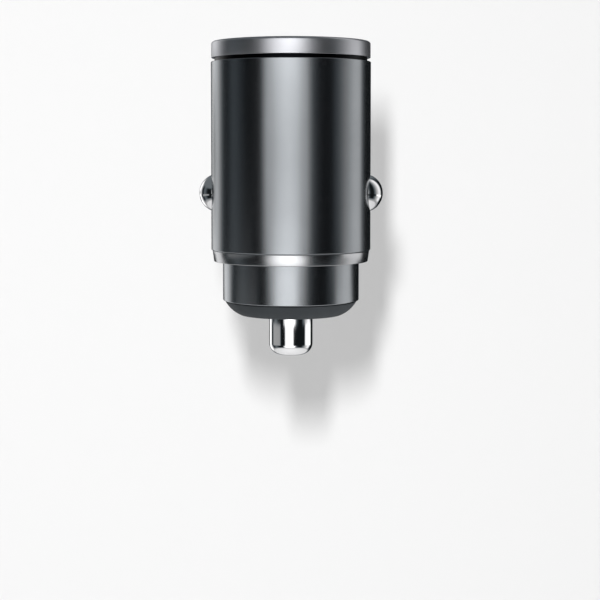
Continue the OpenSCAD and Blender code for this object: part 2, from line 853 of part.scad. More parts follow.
module nose_section() {
    difference() {
        union() {
            polygon([
                [0, nose_low_z],
                [nose_r - nose_chamfer, nose_low_z],
                [nose_r, nose_low_z + nose_chamfer],
                [nose_r, barrel_low_z - collar_h / 2],
                [0, barrel_low_z - collar_h / 2]
            ]);
            polygon([
                [0, collar_low_z],
                [collar_low_r - collar_round, collar_low_z],
                [collar_low_r, collar_low_z + collar_round],
                [collar_top_r, barrel_low_z - collar_edge],
                [collar_top_r - collar_edge, barrel_low_z],
                [0, barrel_low_z]
            ]);
            translate([0, collar_low_z]) square([spigot_r, collar_h + nose_spigot_h]);
        }
        translate([0, nose_low_z - over]) square([nose_in_r, barb_z - nose_low_z + over]);
        translate([0, barb_z - 0.01]) square([nose_in_r + barb_out + fit_gap, top_z]);
    }
}

module nose_sleeve() {
    color("#34393d") turned() nose_section();
}

// Outline of the cone: a flat end and a bulged flank between two given points
module cone_section() {
    low_r = cone_low_d / 2;
    top_r = cone_top_d / 2;
    h = cone_h - parting_h;
    chord = sqrt(pow(top_r - low_r, 2) + pow(h, 2));
    back = sqrt(pow(cone_bulge_r, 2) - pow(chord / 2, 2));
    centre = [
        (low_r + top_r) / 2 - back * h / chord,
        cone_low_z + h / 2 + back * (top_r - low_r) / chord
    ];
    translate([0, cone_low_z]) square([low_r, h]);
    intersection() {
        translate([low_r - 0.1, cone_low_z]) square([top_r - low_r + 0.1, h]);
        translate(centre) circle(r = cone_bulge_r);
    }
}

module tip_insulator() {
    bore_r = flange_r + run_gap;
    hole_r = pin_r + run_gap;
    color("#2f3336")
    difference() {
        turned() union() {
            cone_section();
            translate([0, nose_low_z - parting_h - 0.01]) square([cone_top_d / 2 - 0.35, parting_h + 0.01]);
            translate([0, nose_low_z - 0.01]) square([plug_r, terminal_z + terminal_t - nose_low_z + 0.01]);
            polygon([
                [0, barb_z + fit_gap],
                [plug_r + barb_out, barb_z + fit_gap],
                [plug_r + barb_out, barb_z + fit_gap + 0.2],
                [plug_r, barb_z + fit_gap + barb_h],
                [0, barb_z + fit_gap + barb_h]
            ]);
        }
        translate([0, 0, cone_low_z - over]) cylinder(r = hole_r, h = terminal_z);
        translate([0, 0, cone_low_z - 0.01]) cylinder(r1 = hole_r + 0.2, r2 = hole_r, h = 0.2);
        translate([0, 0, floor_top_z]) cylinder(r = bore_r, h = terminal_z);
        translate([0, 0, terminal_z]) cylinder(r = terminal_r + fit_gap, h = over);
        insulator_cores();
    }
}

// Pockets between the boss around the spring and the outer wall, with ribs left between them
module insulator_cores() {
    boss_r = terminal_r + fit_gap + 0.5;
    wall_r = plug_r - 1.1;
    rib_w = 1.0;
    ribs = 4;
    difference() {
        tube(wall_r, boss_r, floor_top_z + 0.8, terminal_z + terminal_t + over);
        for (i = [0 : ribs / 2 - 1]) {
            rotate([0, 0, 45 + 360 / ribs * i])
                translate([-plug_r, -rib_w / 2, 0]) cube([2 * plug_r, rib_w, barrel_top_z]);
        }
    }
}

module centre_pin() {
    post_r = pin_coil_d / 2 - pin_wire / 2 - 0.2;
    color("#dcdee0")
    turned() union() {
        translate([0, pin_round]) square([pin_r, pin_out - pin_round]);
        square([pin_r - pin_round, pin_out]);
        intersection() {
            translate([pin_r - pin_round, pin_round]) circle(r = pin_round);
            translate([0, 0]) square([pin_r, pin_out]);
        }
        translate([0, pin_round]) square([pin_r - stem_step, flange_top_z - pin_round]);
        translate([0, flange_low_z]) square([flange_r, flange_t]);
        translate([0, flange_low_z]) square([post_r, flange_t + 1.1]);
    }
}

module pin_spring() {
    color("#c8cacc")
    translate([0, 0, pin_spring_z1])
        coil(pin_coil_d / 2, pin_wire, pin_turns, pin_spring_z2 - pin_spring_z1);
}

// Disc that closes the insulator, with a tab soldered to the board's neck
module pin_terminal() {
    color("#c9a45a")
    union() {
        translate([0, 0, terminal_z]) cylinder(r = terminal_r, h = terminal_t);
        translate([-tab_w / 2, board_back_y - fit_gap - terminal_t, terminal_z])
            cube([tab_w, terminal_t, tab_h]);
    }
}

body_barrel();
bezel_ring();
port_plate();
status_lens();
status_led();
usb_a_shell();
usb_a_tongue();
usb_a_contacts();
usb_c_shell();
usb_c_tongue();
usb_c_contacts();
board_carrier();
main_board();
input_capacitor();
power_inductor();
controller_chip();
port_chip();
power_transistors();
small_components();
ground_clip();
left_contact_ball();
left_contact_spring();
left_contact_cup();
right_contact_ball();
right_contact_spring();
right_contact_cup();
nose_sleeve();
tip_insulator();
centre_pin();
pin_spring();
pin_terminal();
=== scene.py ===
import json
from math import atan2, cos, pi, radians, sin, sqrt

import bmesh
import bpy
from mathutils import Matrix, Vector


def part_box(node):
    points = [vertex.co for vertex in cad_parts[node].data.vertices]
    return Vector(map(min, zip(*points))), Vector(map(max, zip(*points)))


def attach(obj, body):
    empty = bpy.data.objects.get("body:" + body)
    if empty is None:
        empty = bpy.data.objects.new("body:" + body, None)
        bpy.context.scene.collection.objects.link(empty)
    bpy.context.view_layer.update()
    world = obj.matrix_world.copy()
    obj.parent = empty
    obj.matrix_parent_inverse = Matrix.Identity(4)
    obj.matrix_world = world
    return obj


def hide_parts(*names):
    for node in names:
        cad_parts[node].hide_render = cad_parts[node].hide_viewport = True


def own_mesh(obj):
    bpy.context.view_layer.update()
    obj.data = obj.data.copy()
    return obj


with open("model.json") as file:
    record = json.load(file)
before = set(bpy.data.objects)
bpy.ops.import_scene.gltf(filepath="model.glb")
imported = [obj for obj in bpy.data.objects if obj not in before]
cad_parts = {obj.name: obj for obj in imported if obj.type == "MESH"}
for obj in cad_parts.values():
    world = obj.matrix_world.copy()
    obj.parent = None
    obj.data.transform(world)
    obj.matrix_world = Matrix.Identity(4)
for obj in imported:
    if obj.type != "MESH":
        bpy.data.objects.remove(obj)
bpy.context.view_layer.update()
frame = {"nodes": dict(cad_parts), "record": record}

mm = 0.001
white = (1, 1, 1, 1)
scene = bpy.context.scene
nodes = frame["nodes"]
print("frame loaded:", len(nodes), "nodes")


# Shader tools: a socket that takes part in arithmetic, and a material that makes its nodes

def operator(operation, swapped=False):
    def apply(self, other):
        values = (other, self) if swapped else (self, other)
        return self.math(operation, *values)
    return apply


class Wire:
    __add__, __radd__ = operator("ADD"), operator("ADD", True)
    __sub__, __rsub__ = operator("SUBTRACT"), operator("SUBTRACT", True)
    __mul__, __rmul__ = operator("MULTIPLY"), operator("MULTIPLY", True)
    __truediv__ = operator("DIVIDE")

    def __init__(self, paint, socket):
        self.paint, self.socket = paint, socket

    def math(self, operation, *values):
        return self.paint.node("ShaderNodeMath", {"operation": operation}, dict(enumerate(values)))


class Paint:
    def __init__(self, owner):
        self.owner = owner
        owner.use_nodes = True
        self.tree = owner.node_tree
        self.tree.nodes.clear()

    def node(self, kind, settings=None, sockets=None, out=0):
        made = self.tree.nodes.new(kind)
        for name, value in (settings or {}).items():
            if name == "stops":
                ramp = made.color_ramp
                while len(ramp.elements) < len(value):
                    ramp.elements.new(0.5)
                for element, (place, tone) in zip(ramp.elements, value):
                    element.position = place
                    element.color = (tone, tone, tone, 1) if isinstance(tone, (int, float)) else (*tone, 1)
            else:
                setattr(made, name, value)
        for name, value in (sockets or {}).items():
            if isinstance(value, Wire):
                self.tree.links.new(value.socket, made.inputs[name])
            else:
                made.inputs[name].default_value = value
        return Wire(self, made.outputs[out]) if made.outputs else made

    def add(self, kind, out=0, **sockets):  # an underscore in a socket's name stands for a space
        named = {name.replace("_", " "): value for name, value in sockets.items()}
        return self.node("ShaderNode" + kind, {}, named, out)

    def mix(self, share, first, second):
        return self.node("ShaderNodeMixShader", {}, {0: share, 1: first, 2: second})

    def rays(self):
        return [self.add("LightPath", f"Is {kind} Ray") for kind in ("Camera", "Glossy", "Transmission")]

    def place(self, move=(0, 0, 0), scale=(1, 1, 1)):
        return self.add("Mapping", Vector=self.add("TexCoord", "Object"), Location=move, Scale=scale)

    def noise(self, scale, detail=3, stretch=(1, 1, 1)):
        return self.add(
            "TexNoise", Vector=self.place(scale=stretch), Scale=scale, Detail=detail, Roughness=0.55)

    def radius(self, middle=(0, 0)):
        spot = self.place((-middle[0], -middle[1], 0), (1, 1, 0))
        return self.node("ShaderNodeVectorMath", {"operation": "LENGTH"}, {0: spot}, out="Value")

    def rings(self, scale):  # turned grain that runs round the walls and round the faces alike
        spot = self.add("CombineXYZ", X=self.radius(), Y=self.spot(2))
        return self.add("TexNoise", Vector=spot, Scale=scale, Detail=2)

    def between(self, mask, low, high):
        return self.node("ShaderNodeMapRange", {"clamp": True}, {
            "Value": mask, "From Min": 0.3, "From Max": 0.7, "To Min": low, "To Max": high})

    def blend(self, mask, first, second):
        return self.node("ShaderNodeMix", {"data_type": "RGBA"}, {
            "Factor": mask, 6: (*first, 1) if isinstance(first, tuple) else first,
            7: (*second, 1) if isinstance(second, tuple) else second}, out=2)

    def bump(self, height, depth):
        return self.add("Bump", Height=height, Distance=depth, Strength=1.0)

    def spot(self, axis):
        return self.add("SeparateXYZ", axis, Vector=self.place())

    def step(self, value, low, high):
        return self.node("ShaderNodeMapRange", {"interpolation_type": "SMOOTHSTEP"}, {
            "Value": value, "From Min": low, "From Max": high})

    def surface(self, **sockets):
        self.add("OutputMaterial", Surface=self.add("BsdfPrincipled", **sockets))
        return self.owner


def newPaint(name):
    return Paint(bpy.data.materials.new(name))


# Studio: soft front light, gradient sides and dark gaps round the plug, and a pale background

studio = {
    "paleTone": 0.94,
    "roomTone": 0.72,  # plain light on whatever isn't shiny
    "roomLean": 0.5,  # how much more of it comes from the right
    "topTone": 0.18,
    "floorTone": 0.36,
    "tones": [  # direction round the plug, in degrees from the camera, and its brightness
        (-180, 0.3), (-163, 0.05), (-156, 0.5), (-150, 1.3), (-145, 1.75), (-130, 1.05), (-122, 0.5),
        (-115, 0.09), (-106, 0.01), (-100, 0.04), (-92, 0.13), (-84, 0.12), (-76, 0.05), (-66, 0.0),
        (-43, 0.0), (-33, 1.1), (-22, 2.3), (-7, 3.15), (8, 2.85), (18, 1.7), (27, 0.28),
        (34, 0.05), (44, 0.0), (60, 0.0), (74, 0.2), (92, 0.66), (102, 1.05), (116, 1.05),
        (124, 0.1), (133, 0.0), (162, 0.0), (180, 0.3)],
    "lowTones": [  # the same nearer the tip
        (-180, 0.3), (-165, 0.0), (-152, 0.0), (-146, 1.3), (-128, 1.3), (-121, 0.02), (-112, 0.02),
        (-103, 0.36), (-62, 0.34), (-54, 0.0), (-34, 0.0), (-28, 1.0), (-22, 2.3), (6, 2.3),
        (11, 1.0), (17, 0.0), (78, 0.0), (86, 1.3), (124, 1.3), (132, 0.0), (165, 0.0),
        (180, 0.3)],
    "tipBand": (-0.102, -0.111),  # where the low tones take over, as the height of a ray's direction
    "tipBandEnd": (-0.26, -0.2),
    "topBand": (0.28, 0.5),
    "floorBand": (-0.42, -0.6),
    "coolDark": (0.74, 0.9, 1.0),  # tint of whatever is dark
    "dip": 0.85,  # how far the front light fades at mid height
    "dipAt": -0.004,
    "dipReach": 0.1,
    "toneScale": 3.2,
    "turn": 3.0,
}


def makeWorld():
    world = bpy.data.worlds.new("studioWorld")
    scene.world = world
    world.cycles.sampling_method = "NONE"
    paint = Paint(world)
    ray = paint.add("TexCoord", "Generated")
    east, north, up = [paint.add("SeparateXYZ", axis, Vector=ray) for axis in range(3)]
    heading = east.math("ARCTAN2", east, 0 - north)
    share = heading / (2 * pi) + 0.5 - studio["turn"] / 360
    share = share.math("FRACT", share)
    strips = []
    for tones in (studio["tones"], studio["lowTones"]):
        stops = [((angle + 180) / 360, tone / studio["toneScale"]) for angle, tone in tones]
        ramp = paint.node("ShaderNodeValToRGB", {"stops": stops}, {"Fac": share})
        strips.append(ramp * studio["toneScale"])
    nearTip = paint.step(up, *studio["tipBand"]) * paint.step(up, *studio["tipBandEnd"])
    tone = strips[0] + nearTip * (strips[1] - strips[0])
    top = paint.step(up, *studio["topBand"]) * paint.step(east, 0.6, 0.3)
    low = paint.step(up, *studio["floorBand"])
    offMiddle = up.math("ABSOLUTE", up - studio["dipAt"])
    dip = paint.step(offMiddle, studio["dipReach"], 0) * paint.step(tone, 0.9, 1.8)
    tone = tone * (1 - studio["dip"] * dip)
    tone = tone + top * (studio["topTone"] - tone)
    tone = tone + low * (studio["floorTone"] - tone)
    seen, glossy, passed = paint.rays()
    tint = paint.blend(paint.step(tone, 0, 0.4), studio["coolDark"], (1.0, 1.0, 1.0))
    strips = paint.add("Background", Color=tint, Strength=tone + 0.01)
    roomTone = (east * studio["roomLean"] + 1) * studio["roomTone"]
    room = paint.add("Background", Color=white, Strength=roomTone)
    pale = paint.add("Background", Color=white, Strength=studio["paleTone"])
    lit = paint.mix(glossy + passed, room, strips)
    paint.add("OutputWorld", Surface=paint.mix(seen, lit, pale))


view = {
    "distance": 192.3 * mm,
    "turn": 3.0,
    "tilt": 3.72,
    "eyeHeight": 26.66 * mm,
    "lens": 88.2,
    "shiftX": 9.1 / 600,
    "shiftY": -53.4 / 600,
}
turn = radians(view["turn"])
eye = Vector((view["distance"] * sin(turn), -view["distance"] * cos(turn), view["eyeHeight"]))


def makeCamera():
    data = bpy.data.cameras.new("photoCamera")
    camera = bpy.data.objects.new("photoCamera", data)
    scene.collection.objects.link(camera)
    camera.location = eye
    camera.rotation_euler = (pi / 2 - radians(view["tilt"]), 0, turn)
    data.lens, data.sensor_width = view["lens"], 36
    data.shift_x, data.shift_y = view["shiftX"], view["shiftY"]
    data.clip_start, data.clip_end = 0.01, 10
    scene.camera = camera


backdrop = {
    "reach": 368 * mm,  # from the shadow's lamp to the backdrop, which is curved round it
    "halfWidth": 15,  # in degrees, like the next two
    "up": 20,
    "down": 26,
    "tone": 0.71,
    "paleShare": {"backdrop": 0.0, "floor": 0.5},  # how much of the surface's look is plain pale
    "floorHeight": -140 * mm,
    "floorRadius": 240 * mm,
    "floorFade": 0.7,  # share of the radius where the floor starts to fade
    "edgeFade": 2.5,  # width in degrees of the backdrop's faded edge
    "lampLeft": 5.6 * mm,
    "lampUp": 19 * mm,
    "lampSize": (4.8 * mm, 16 * mm),  # tall, so the shadow's top edge is the softer one
    "lampPower": 0.79,
}


def makeStage():
    lampSpot = eye + Matrix.Rotation(turn, 3, "Z") @ Vector((-backdrop["lampLeft"], 0, backdrop["lampUp"]))
    sheet = bmesh.new()
    bmesh.ops.create_uvsphere(sheet, u_segments=96, v_segments=64, radius=backdrop["reach"])
    edges = [
        (radians(backdrop["halfWidth"]), "Z"), (-radians(backdrop["halfWidth"]), "Z"),
        (radians(backdrop["up"]), "X"), (-radians(backdrop["down"]), "X")]
    for angle, axis in edges:
        away = Vector((-1, 0, 0)) if axis == "Z" else Vector((0, 0, 1))
        away = Matrix.Rotation(angle, 3, axis) @ (away if angle > 0 else -away)
        bmesh.ops.bisect_plane(
            sheet, geom=sheet.verts[:] + sheet.edges[:] + sheet.faces[:],
            plane_co=(0, 0, 0), plane_no=away, clear_outer=True)
    front = [vert for vert in sheet.verts if vert.co.y < 0]
    bmesh.ops.delete(sheet, geom=front, context="VERTS")
    bmesh.ops.reverse_faces(sheet, faces=sheet.faces[:])
    bmesh.ops.rotate(sheet, cent=(0, 0, 0), matrix=Matrix.Rotation(turn, 3, "Z"), verts=sheet.verts[:])
    bmesh.ops.translate(sheet, vec=lampSpot, verts=sheet.verts[:])
    disc = bmesh.new()
    bmesh.ops.create_circle(disc, cap_ends=True, segments=96, radius=backdrop["floorRadius"])
    bmesh.ops.translate(disc, vec=(0, 0, backdrop["floorHeight"]), verts=disc.verts[:])
    made = bpy.data.collections.new("stage")
    right, upright = Matrix.Rotation(turn, 3, "Z") @ Vector((1, 0, 0)), Vector((0, 0, 1))
    for name, shape in (("backdrop", sheet), ("floor", disc)):
        paint = newPaint(name)
        tone = (backdrop["tone"],) * 3 + (1,)
        diffuse = paint.add("BsdfDiffuse", Color=tone)
        pale = paint.add("Emission", Color=white, Strength=studio["paleTone"])
        seen, glossy, passed = paint.rays()
        matt = paint.mix((seen + glossy + passed) * backdrop["paleShare"][name], diffuse, pale)
        clear = paint.add("BsdfTransparent")
        behind = paint.add("NewGeometry", "Backfacing")
        if name == "floor":
            reach = backdrop["floorRadius"]
            behind = behind + paint.step(paint.radius(), reach * backdrop["floorFade"], reach)
        else:  # fades out before its edges
            offset = paint.place(-lampSpot / backdrop["reach"], (1 / backdrop["reach"],) * 3)
            sides = ((right, "halfWidth"), (-right, "halfWidth"), (upright, "up"), (-upright, "down"))
            for axis, edge in sides:
                away = paint.node(
                    "ShaderNodeVectorMath", {"operation": "DOT_PRODUCT"}, {0: offset, 1: axis}, out="Value")
                first, last = radians(backdrop[edge] - backdrop["edgeFade"]), radians(backdrop[edge] - 0.1)
                behind = behind + paint.step(away, sin(first), sin(last))
        hidden = behind.math("MINIMUM", behind, 1.0)
        paint.add("OutputMaterial", Surface=paint.mix(hidden, matt, clear))
        mesh = bpy.data.meshes.new(name)
        shape.to_mesh(mesh)
        shape.free()
        mesh.shade_smooth()
        mesh.materials.append(paint.owner)
        piece = bpy.data.objects.new(name, mesh)
        scene.collection.objects.link(piece)
        made.objects.link(piece)
        piece.visible_glossy = name == "floor"  # shiny parts see the world's own pale strip straight behind
    light = bpy.data.lights.new("shadowLamp", "AREA")
    light.shape, light.energy = "ELLIPSE", backdrop["lampPower"]
    light.size, light.size_y = backdrop["lampSize"]
    lamp = bpy.data.objects.new("shadowLamp", light)
    lamp.location = lampSpot
    lamp.rotation_euler = (pi / 2 - radians(view["tilt"]), 0, turn)
    lamp.visible_camera = False
    scene.collection.objects.link(lamp)
    lamp.light_linking.receiver_collection = made


makeCamera()
makeWorld()
makeStage()
scene.view_settings.view_transform = "Standard"
print("studio made")


def span(node):
    low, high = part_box(node)
    return low / mm, high / mm


# Heights and radii that several pieces share, read from the frame

barrelLow, barrelHigh = span("body_barrel")
barrelR = barrelHigh.x
ballLow, ballHigh = span("right_contact_ball")
ballR = (ballHigh.z - ballLow.z) / 2
ballX, contactZ = ballHigh.x - ballR, (ballHigh.z + ballLow.z) / 2
noseLow, noseHigh = span("nose_sleeve")
plateLow, plateHigh = span("port_plate")
bezelHigh = span("bezel_ring")[1]
shellALow, shellAHigh = span("usb_a_shell")
shellCLow, shellCHigh = span("usb_c_shell")
mouthZ = shellAHigh.z
boardLow, boardHigh = span("main_board")
boardFront, boardBack = boardHigh.y, boardLow.y
capLow, capHigh = span("input_capacitor")
canR = capHigh.x
canY = capHigh.y - canR
ledLow, ledHigh = span("status_led")


# Finishes

def metal(name, tone, roughness, grain=0.2e-6, grainScale=6000, stretch=(1, 1, 0.05), wear=0.07):
    paint = newPaint(name)
    cloud = paint.between(paint.noise(260, 4), 0, 1)
    lines = paint.rings(grainScale) if stretch is None else paint.noise(grainScale, 2, stretch)
    return paint.surface(
        Base_Color=paint.blend(cloud, tone, tuple(c * (1 - wear) for c in tone)),
        Metallic=1.0,
        Roughness=roughness * (0.93 + 0.14 * cloud),
        Normal=paint.bump(lines, grain))


def plastic(name, tone, roughness, grain, fleck=0.0, gloss=0.5):
    paint = newPaint(name)
    cloud = paint.between(paint.noise(300, 3), 0, 1)
    colour = paint.blend(cloud, tone, tuple(c * 0.88 for c in tone))
    if fleck:
        speck = paint.step(paint.noise(7000, 2), 0.58, 0.66)
        colour = paint.blend(speck * fleck, colour, tuple(min(1, c * 3.5) for c in tone))
    return paint.surface(
        Base_Color=colour, Roughness=roughness * (0.92 + 0.16 * cloud), Specular_IOR_Level=gloss,
        Normal=paint.bump(paint.noise(9000, 2), grain))


metals = {
    "barrel": (0.30, 0.315, 0.33),
    "barrelRoughness": 0.2,
    "collar": (0.41, 0.415, 0.425),  # painted highlight: a brighter base colour on the collar band stands in for its taper catching more light
    "collarHeight": 1.5,
    "bezel": (0.5, 0.505, 0.53),
    "bezelRoughness": 0.33,
    # painted shade: near-black colour for the groove under the bezel, where shade falls
    "groove": (0.003, 0.0032, 0.004),
    "grooveHeight": 0.5,
    "giltLength": 7,  # how far down from the mouth the USB contacts are gilt
}


def turnedGunmetal():
    paint = newPaint("turnedGunmetal")
    cloud, height = paint.between(paint.noise(220, 4), 0, 1), paint.spot(2)
    sheen = paint.between(paint.noise(1500, 3, (1, 1, 0.03)), 0, 1)
    low, high = (barrelLow.z - metals["collarHeight"]) * mm, barrelLow.z * mm
    # painted highlight: the collar band gets a brighter base colour for the light on its taper
    collar = paint.step(height, low - 0.02 * mm, low + 0.02 * mm) * paint.step(
        height, high, high - 0.04 * mm)
    tone = paint.blend(cloud, metals["barrel"], tuple(c * 0.94 for c in metals["barrel"]))
    return paint.surface(
        Base_Color=paint.blend(collar, tone, metals["collar"]),
        Metallic=1.0,
        Roughness=metals["barrelRoughness"] * (0.95 + 0.06 * cloud + 0.05 * sheen),
        Normal=paint.bump(paint.rings(14000), 0.15e-6))


def satinRing():
    paint = newPaint("satinTurnedRing")
    cloud = paint.between(paint.noise(400, 3), 0, 1)
    top, edge = (barrelHigh.z + metals["grooveHeight"]) * mm, bezelHigh.x * mm
    # painted shade: the groove's faces are coloured near black for the shade inside it
    groove = paint.step(paint.spot(2), top + 0.01 * mm, top - 0.02 * mm) * paint.step(
        paint.radius(), edge - 0.03 * mm, edge - 0.07 * mm)
    tone = paint.blend(cloud, metals["bezel"], tuple(c * 0.96 for c in metals["bezel"]))
    return paint.surface(
        Base_Color=paint.blend(groove, tone, metals["groove"]),
        Metallic=1.0,
        Roughness=metals["bezelRoughness"] + 0.02 * cloud,
        Normal=paint.bump(paint.rings(11000), 0.5e-6))


def platedContacts():  # gold only where the plug rubs, plain tin down to the soldered ends
    paint = newPaint("platedContacts")
    cloud = paint.between(paint.noise(500, 3), 0, 1)
    start, ragged = (mouthZ - metals["giltLength"]) * mm, paint.noise(900, 2) * (0.3 * mm)
    gilt = paint.step(paint.spot(2) + ragged, start, start + 0.2 * mm)
    gold = paint.blend(cloud, (0.86, 0.62, 0.27), (0.8, 0.55, 0.22))
    return paint.surface(
        Base_Color=paint.blend(gilt, (0.66, 0.65, 0.62), gold), Metallic=1.0, Roughness=0.34 - 0.14 * gilt,
        Normal=paint.bump(paint.noise(6000, 2, (1, 1, 0.05)), 0.1e-6))


laminate = {
    "mask": (0.012, 0.085, 0.045),
    "overCopper": (0.025, 0.15, 0.075),
    "core": (0.5, 0.44, 0.26),
    "copperScale": 620,
    "holeScale": 420,
    "skin": 0.06,
}


def solderMask():  # copper areas under the green lacquer, small plated holes and a bare woven edge
    paint = newPaint("solderMaskLaminate")
    upright = paint.add("Mapping", Vector=paint.place(), Rotation=(pi / 2, 0, 0))
    gaps = paint.node("ShaderNodeTexBrick", {"offset": 0.37, "squash": 0.7, "squash_frequency": 3}, {
        "Vector": upright, "Scale": laminate["copperScale"], "Mortar Size": 0.03, "Mortar Smooth": 0.1,
        "Brick Width": 2.3, "Row Height": 0.9}, out="Fac")
    flat = paint.add("Mapping", Vector=paint.place(), Scale=(1, 0.001, 1))
    holes = paint.node("ShaderNodeTexVoronoi", {"feature": "F1"}, {
        "Vector": flat, "Scale": laminate["holeScale"], "Randomness": 0.8})
    via = paint.step(holes, 0.11, 0.09)
    colour = paint.blend(gaps, laminate["overCopper"], laminate["mask"])
    colour = paint.blend(via, colour, (0.5, 0.48, 0.42))
    depth = paint.spot(1)
    skin = laminate["skin"] * mm
    core = paint.step(depth, boardBack * mm + skin * 0.7, boardBack * mm + skin) * paint.step(
        depth, boardFront * mm - skin * 0.7, boardFront * mm - skin)
    weave = paint.noise(2500, 2, (1, 1, 8))
    colour = paint.blend(core, colour, paint.blend(weave, laminate["core"], (0.62, 0.56, 0.38)))
    return paint.surface(
        Base_Color=colour, Metallic=via * (1 - core), Roughness=0.32 + 0.4 * core + 0.06 * weave,
        Normal=paint.bump(gaps * -1, 8e-6))


sleeve = {
    "film": (0.022, 0.026, 0.04),
    "stripe": (0.5, 0.51, 0.52),
    "can": (0.74, 0.75, 0.76),
    "stripeFrom": 0.82,  # share of the radius where the plain stripe begins
    "border": 0.42,  # film turned over the can's end
}


def shrunkSleeve():  # printed-film look with one plain stripe, and the bare can at its end
    paint = newPaint("shrunkSleeve")
    cloud = paint.between(paint.noise(400, 3), 0, 1)
    stripeAt, bareAt = canR * sleeve["stripeFrom"] * mm, (canR - sleeve["border"]) * mm
    stripe = paint.step(paint.spot(0), stripeAt, stripeAt + canR * 0.02 * mm)
    bare = paint.step(paint.radius((0, canY * mm)), bareAt, bareAt - 0.04 * mm)
    film = paint.blend(stripe, paint.blend(cloud, sleeve["film"], (0.03, 0.034, 0.05)), sleeve["stripe"])
    return paint.surface(
        Base_Color=paint.blend(bare, film, sleeve["can"]), Metallic=bare, Roughness=0.28 + 0.06 * cloud,
        Coat_Weight=0.4 * (1 - bare), Normal=paint.bump(paint.noise(1800, 3), 3e-6))


def ledPackage():  # white case with a yellow phosphor window in its top
    paint = newPaint("ledPackage")
    cloud = paint.between(paint.noise(900, 2), 0, 1)
    middle = ((ledLow.x + ledHigh.x) / 2 * mm, (ledLow.y + ledHigh.y) / 2 * mm)
    window = paint.step(paint.radius(middle), 0.36 * mm, 0.33 * mm) * paint.step(
        paint.spot(2), (ledHigh.z - 0.05) * mm, (ledHigh.z - 0.03) * mm)
    case = paint.blend(cloud, (0.84, 0.83, 0.78), (0.78, 0.77, 0.71))
    return paint.surface(
        Base_Color=paint.blend(window, case, (0.85, 0.66, 0.12)), Roughness=0.45 - 0.15 * window,
        Normal=paint.bump(paint.noise(9000, 2), 0.5e-6))


def lightGuide():
    paint = newPaint("lightGuide")
    haze = paint.between(paint.noise(700, 3), 0, 1)
    return paint.surface(
        Base_Color=paint.blend(haze, (0.82, 0.88, 0.95), (0.9, 0.93, 0.97)), Roughness=0.18 + 0.1 * haze,
        Transmission_Weight=0.7, IOR=1.58, Normal=paint.bump(paint.noise(2500, 2), 0.5e-6))


finishes = {
    "barrel_metal": turnedGunmetal(),
    "bezel_metal": satinRing(),
    "face_plastic": plastic("grainedFacePlastic", (0.02, 0.021, 0.023), 0.5, 6e-6),
    "tip_plastic": plastic("mattTipPlastic", (0.052, 0.059, 0.065), 0.7, 5e-6, gloss=0.2),
    "frame_plastic": plastic("glassFilledFrame", (0.03, 0.032, 0.035), 0.5, 4e-6, fleck=0.25),
    "pin_chrome": metal("pinChrome", (0.86, 0.86, 0.87), 0.06, 0.03e-6, 9000, None, 0.03),
    "contact_chrome": metal("contactChrome", (0.8, 0.8, 0.81), 0.07, 0.02e-6, 4000, (1, 1, 1), 0.04),
    "port_shell": metal("nickelledSteel", (0.68, 0.69, 0.71), 0.27, 0.25e-6, 7000),
    "usb_a_insulator": plastic("ivoryTongue", (0.82, 0.8, 0.74), 0.35, 1.5e-6),
    "usb_c_insulator": plastic("blackTongue", (0.025, 0.025, 0.028), 0.35, 1.5e-6, fleck=0.12),
    "gold_contacts": platedContacts(),
    "lens": lightGuide(),
    "led_body": ledPackage(),
    "board_laminate": solderMask(),
    "capacitor_can": shrunkSleeve(),
    "inductor_block": plastic("pressedIronPowder", (0.09, 0.09, 0.095), 0.62, 7e-6, fleck=0.5),
    "chip_black": plastic("chipEpoxy", (0.018, 0.018, 0.02), 0.48, 3e-6, fleck=0.1),
    "ceramic": plastic("ceramicBody", (0.42, 0.33, 0.2), 0.42, 2e-6, fleck=0.1),
    "brass_parts": metal("stampedBrass", (0.72, 0.54, 0.26), 0.28, 0.3e-6, 7000, (1, 1, 0.05), 0.16),
    "spring_steel": metal("drawnSpringWire", (0.58, 0.585, 0.6), 0.22, 0.2e-6, 8000, (1, 1, 1), 0.12),
}
slotOf = {part["node"]: part["material_slot"] for part in frame["record"]["subparts"]}
for name, piece in nodes.items():
    piece.data.materials.clear()
    piece.data.materials.append(finishes[slotOf[name]])
print("finishes made:", len(finishes))


# Modelling tools, in millimetres until a piece is finished

def outline(corners, segments=6):  # corners are (across, up) or (across, up, rounding), in the XZ plane
    shape = bmesh.new()
    verts = [shape.verts.new((corner[0], 0, corner[1])) for corner in corners]
    shape.faces.new(verts)
    rounded = {}
    for vert, corner in zip(verts, corners):
        if len(corner) > 2 and corner[2] > 0:
            rounded.setdefault(corner[2], []).append(vert)
    for radius, picked in rounded.items():
        bevelled(shape, picked, radius, segments, affect="VERTICES")
    return shape


def bevelled(shape, picked, offset, segments, affect="EDGES"):
    bmesh.ops.bevel(
        shape, geom=picked, offset=offset, affect=affect, segments=segments, profile=0.5, material=-1)
    return shape


def vertsOf(made):
    return [item for item in made if isinstance(item, bmesh.types.BMVert)]


def faced(shape):
    bmesh.ops.recalc_face_normals(shape, faces=shape.faces[:])
    return shape


def cleaned(shape, reach=1e-4):
    bmesh.ops.remove_doubles(shape, verts=shape.verts[:], dist=reach)
    return faced(shape)


def capped(shape):  # closes the open ends
    bmesh.ops.holes_fill(shape, edges=[edge for edge in shape.edges if len(edge.link_faces) == 1])
    return faced(shape)


def turned(corners, steps=192, segments=6):
    shape = outline(corners, segments)
    bmesh.ops.delete(shape, geom=shape.faces[:], context="FACES_ONLY")
    onAxis = [edge for edge in shape.edges if all(abs(vert.co.x) < 1e-6 for vert in edge.verts)]
    bmesh.ops.delete(shape, geom=onAxis, context="EDGES")
    bmesh.ops.spin(
        shape, geom=shape.verts[:] + shape.edges[:], cent=(0, 0, 0), axis=(0, 0, 1),
        angle=2 * pi, steps=steps, use_merge=True)
    return cleaned(shape)


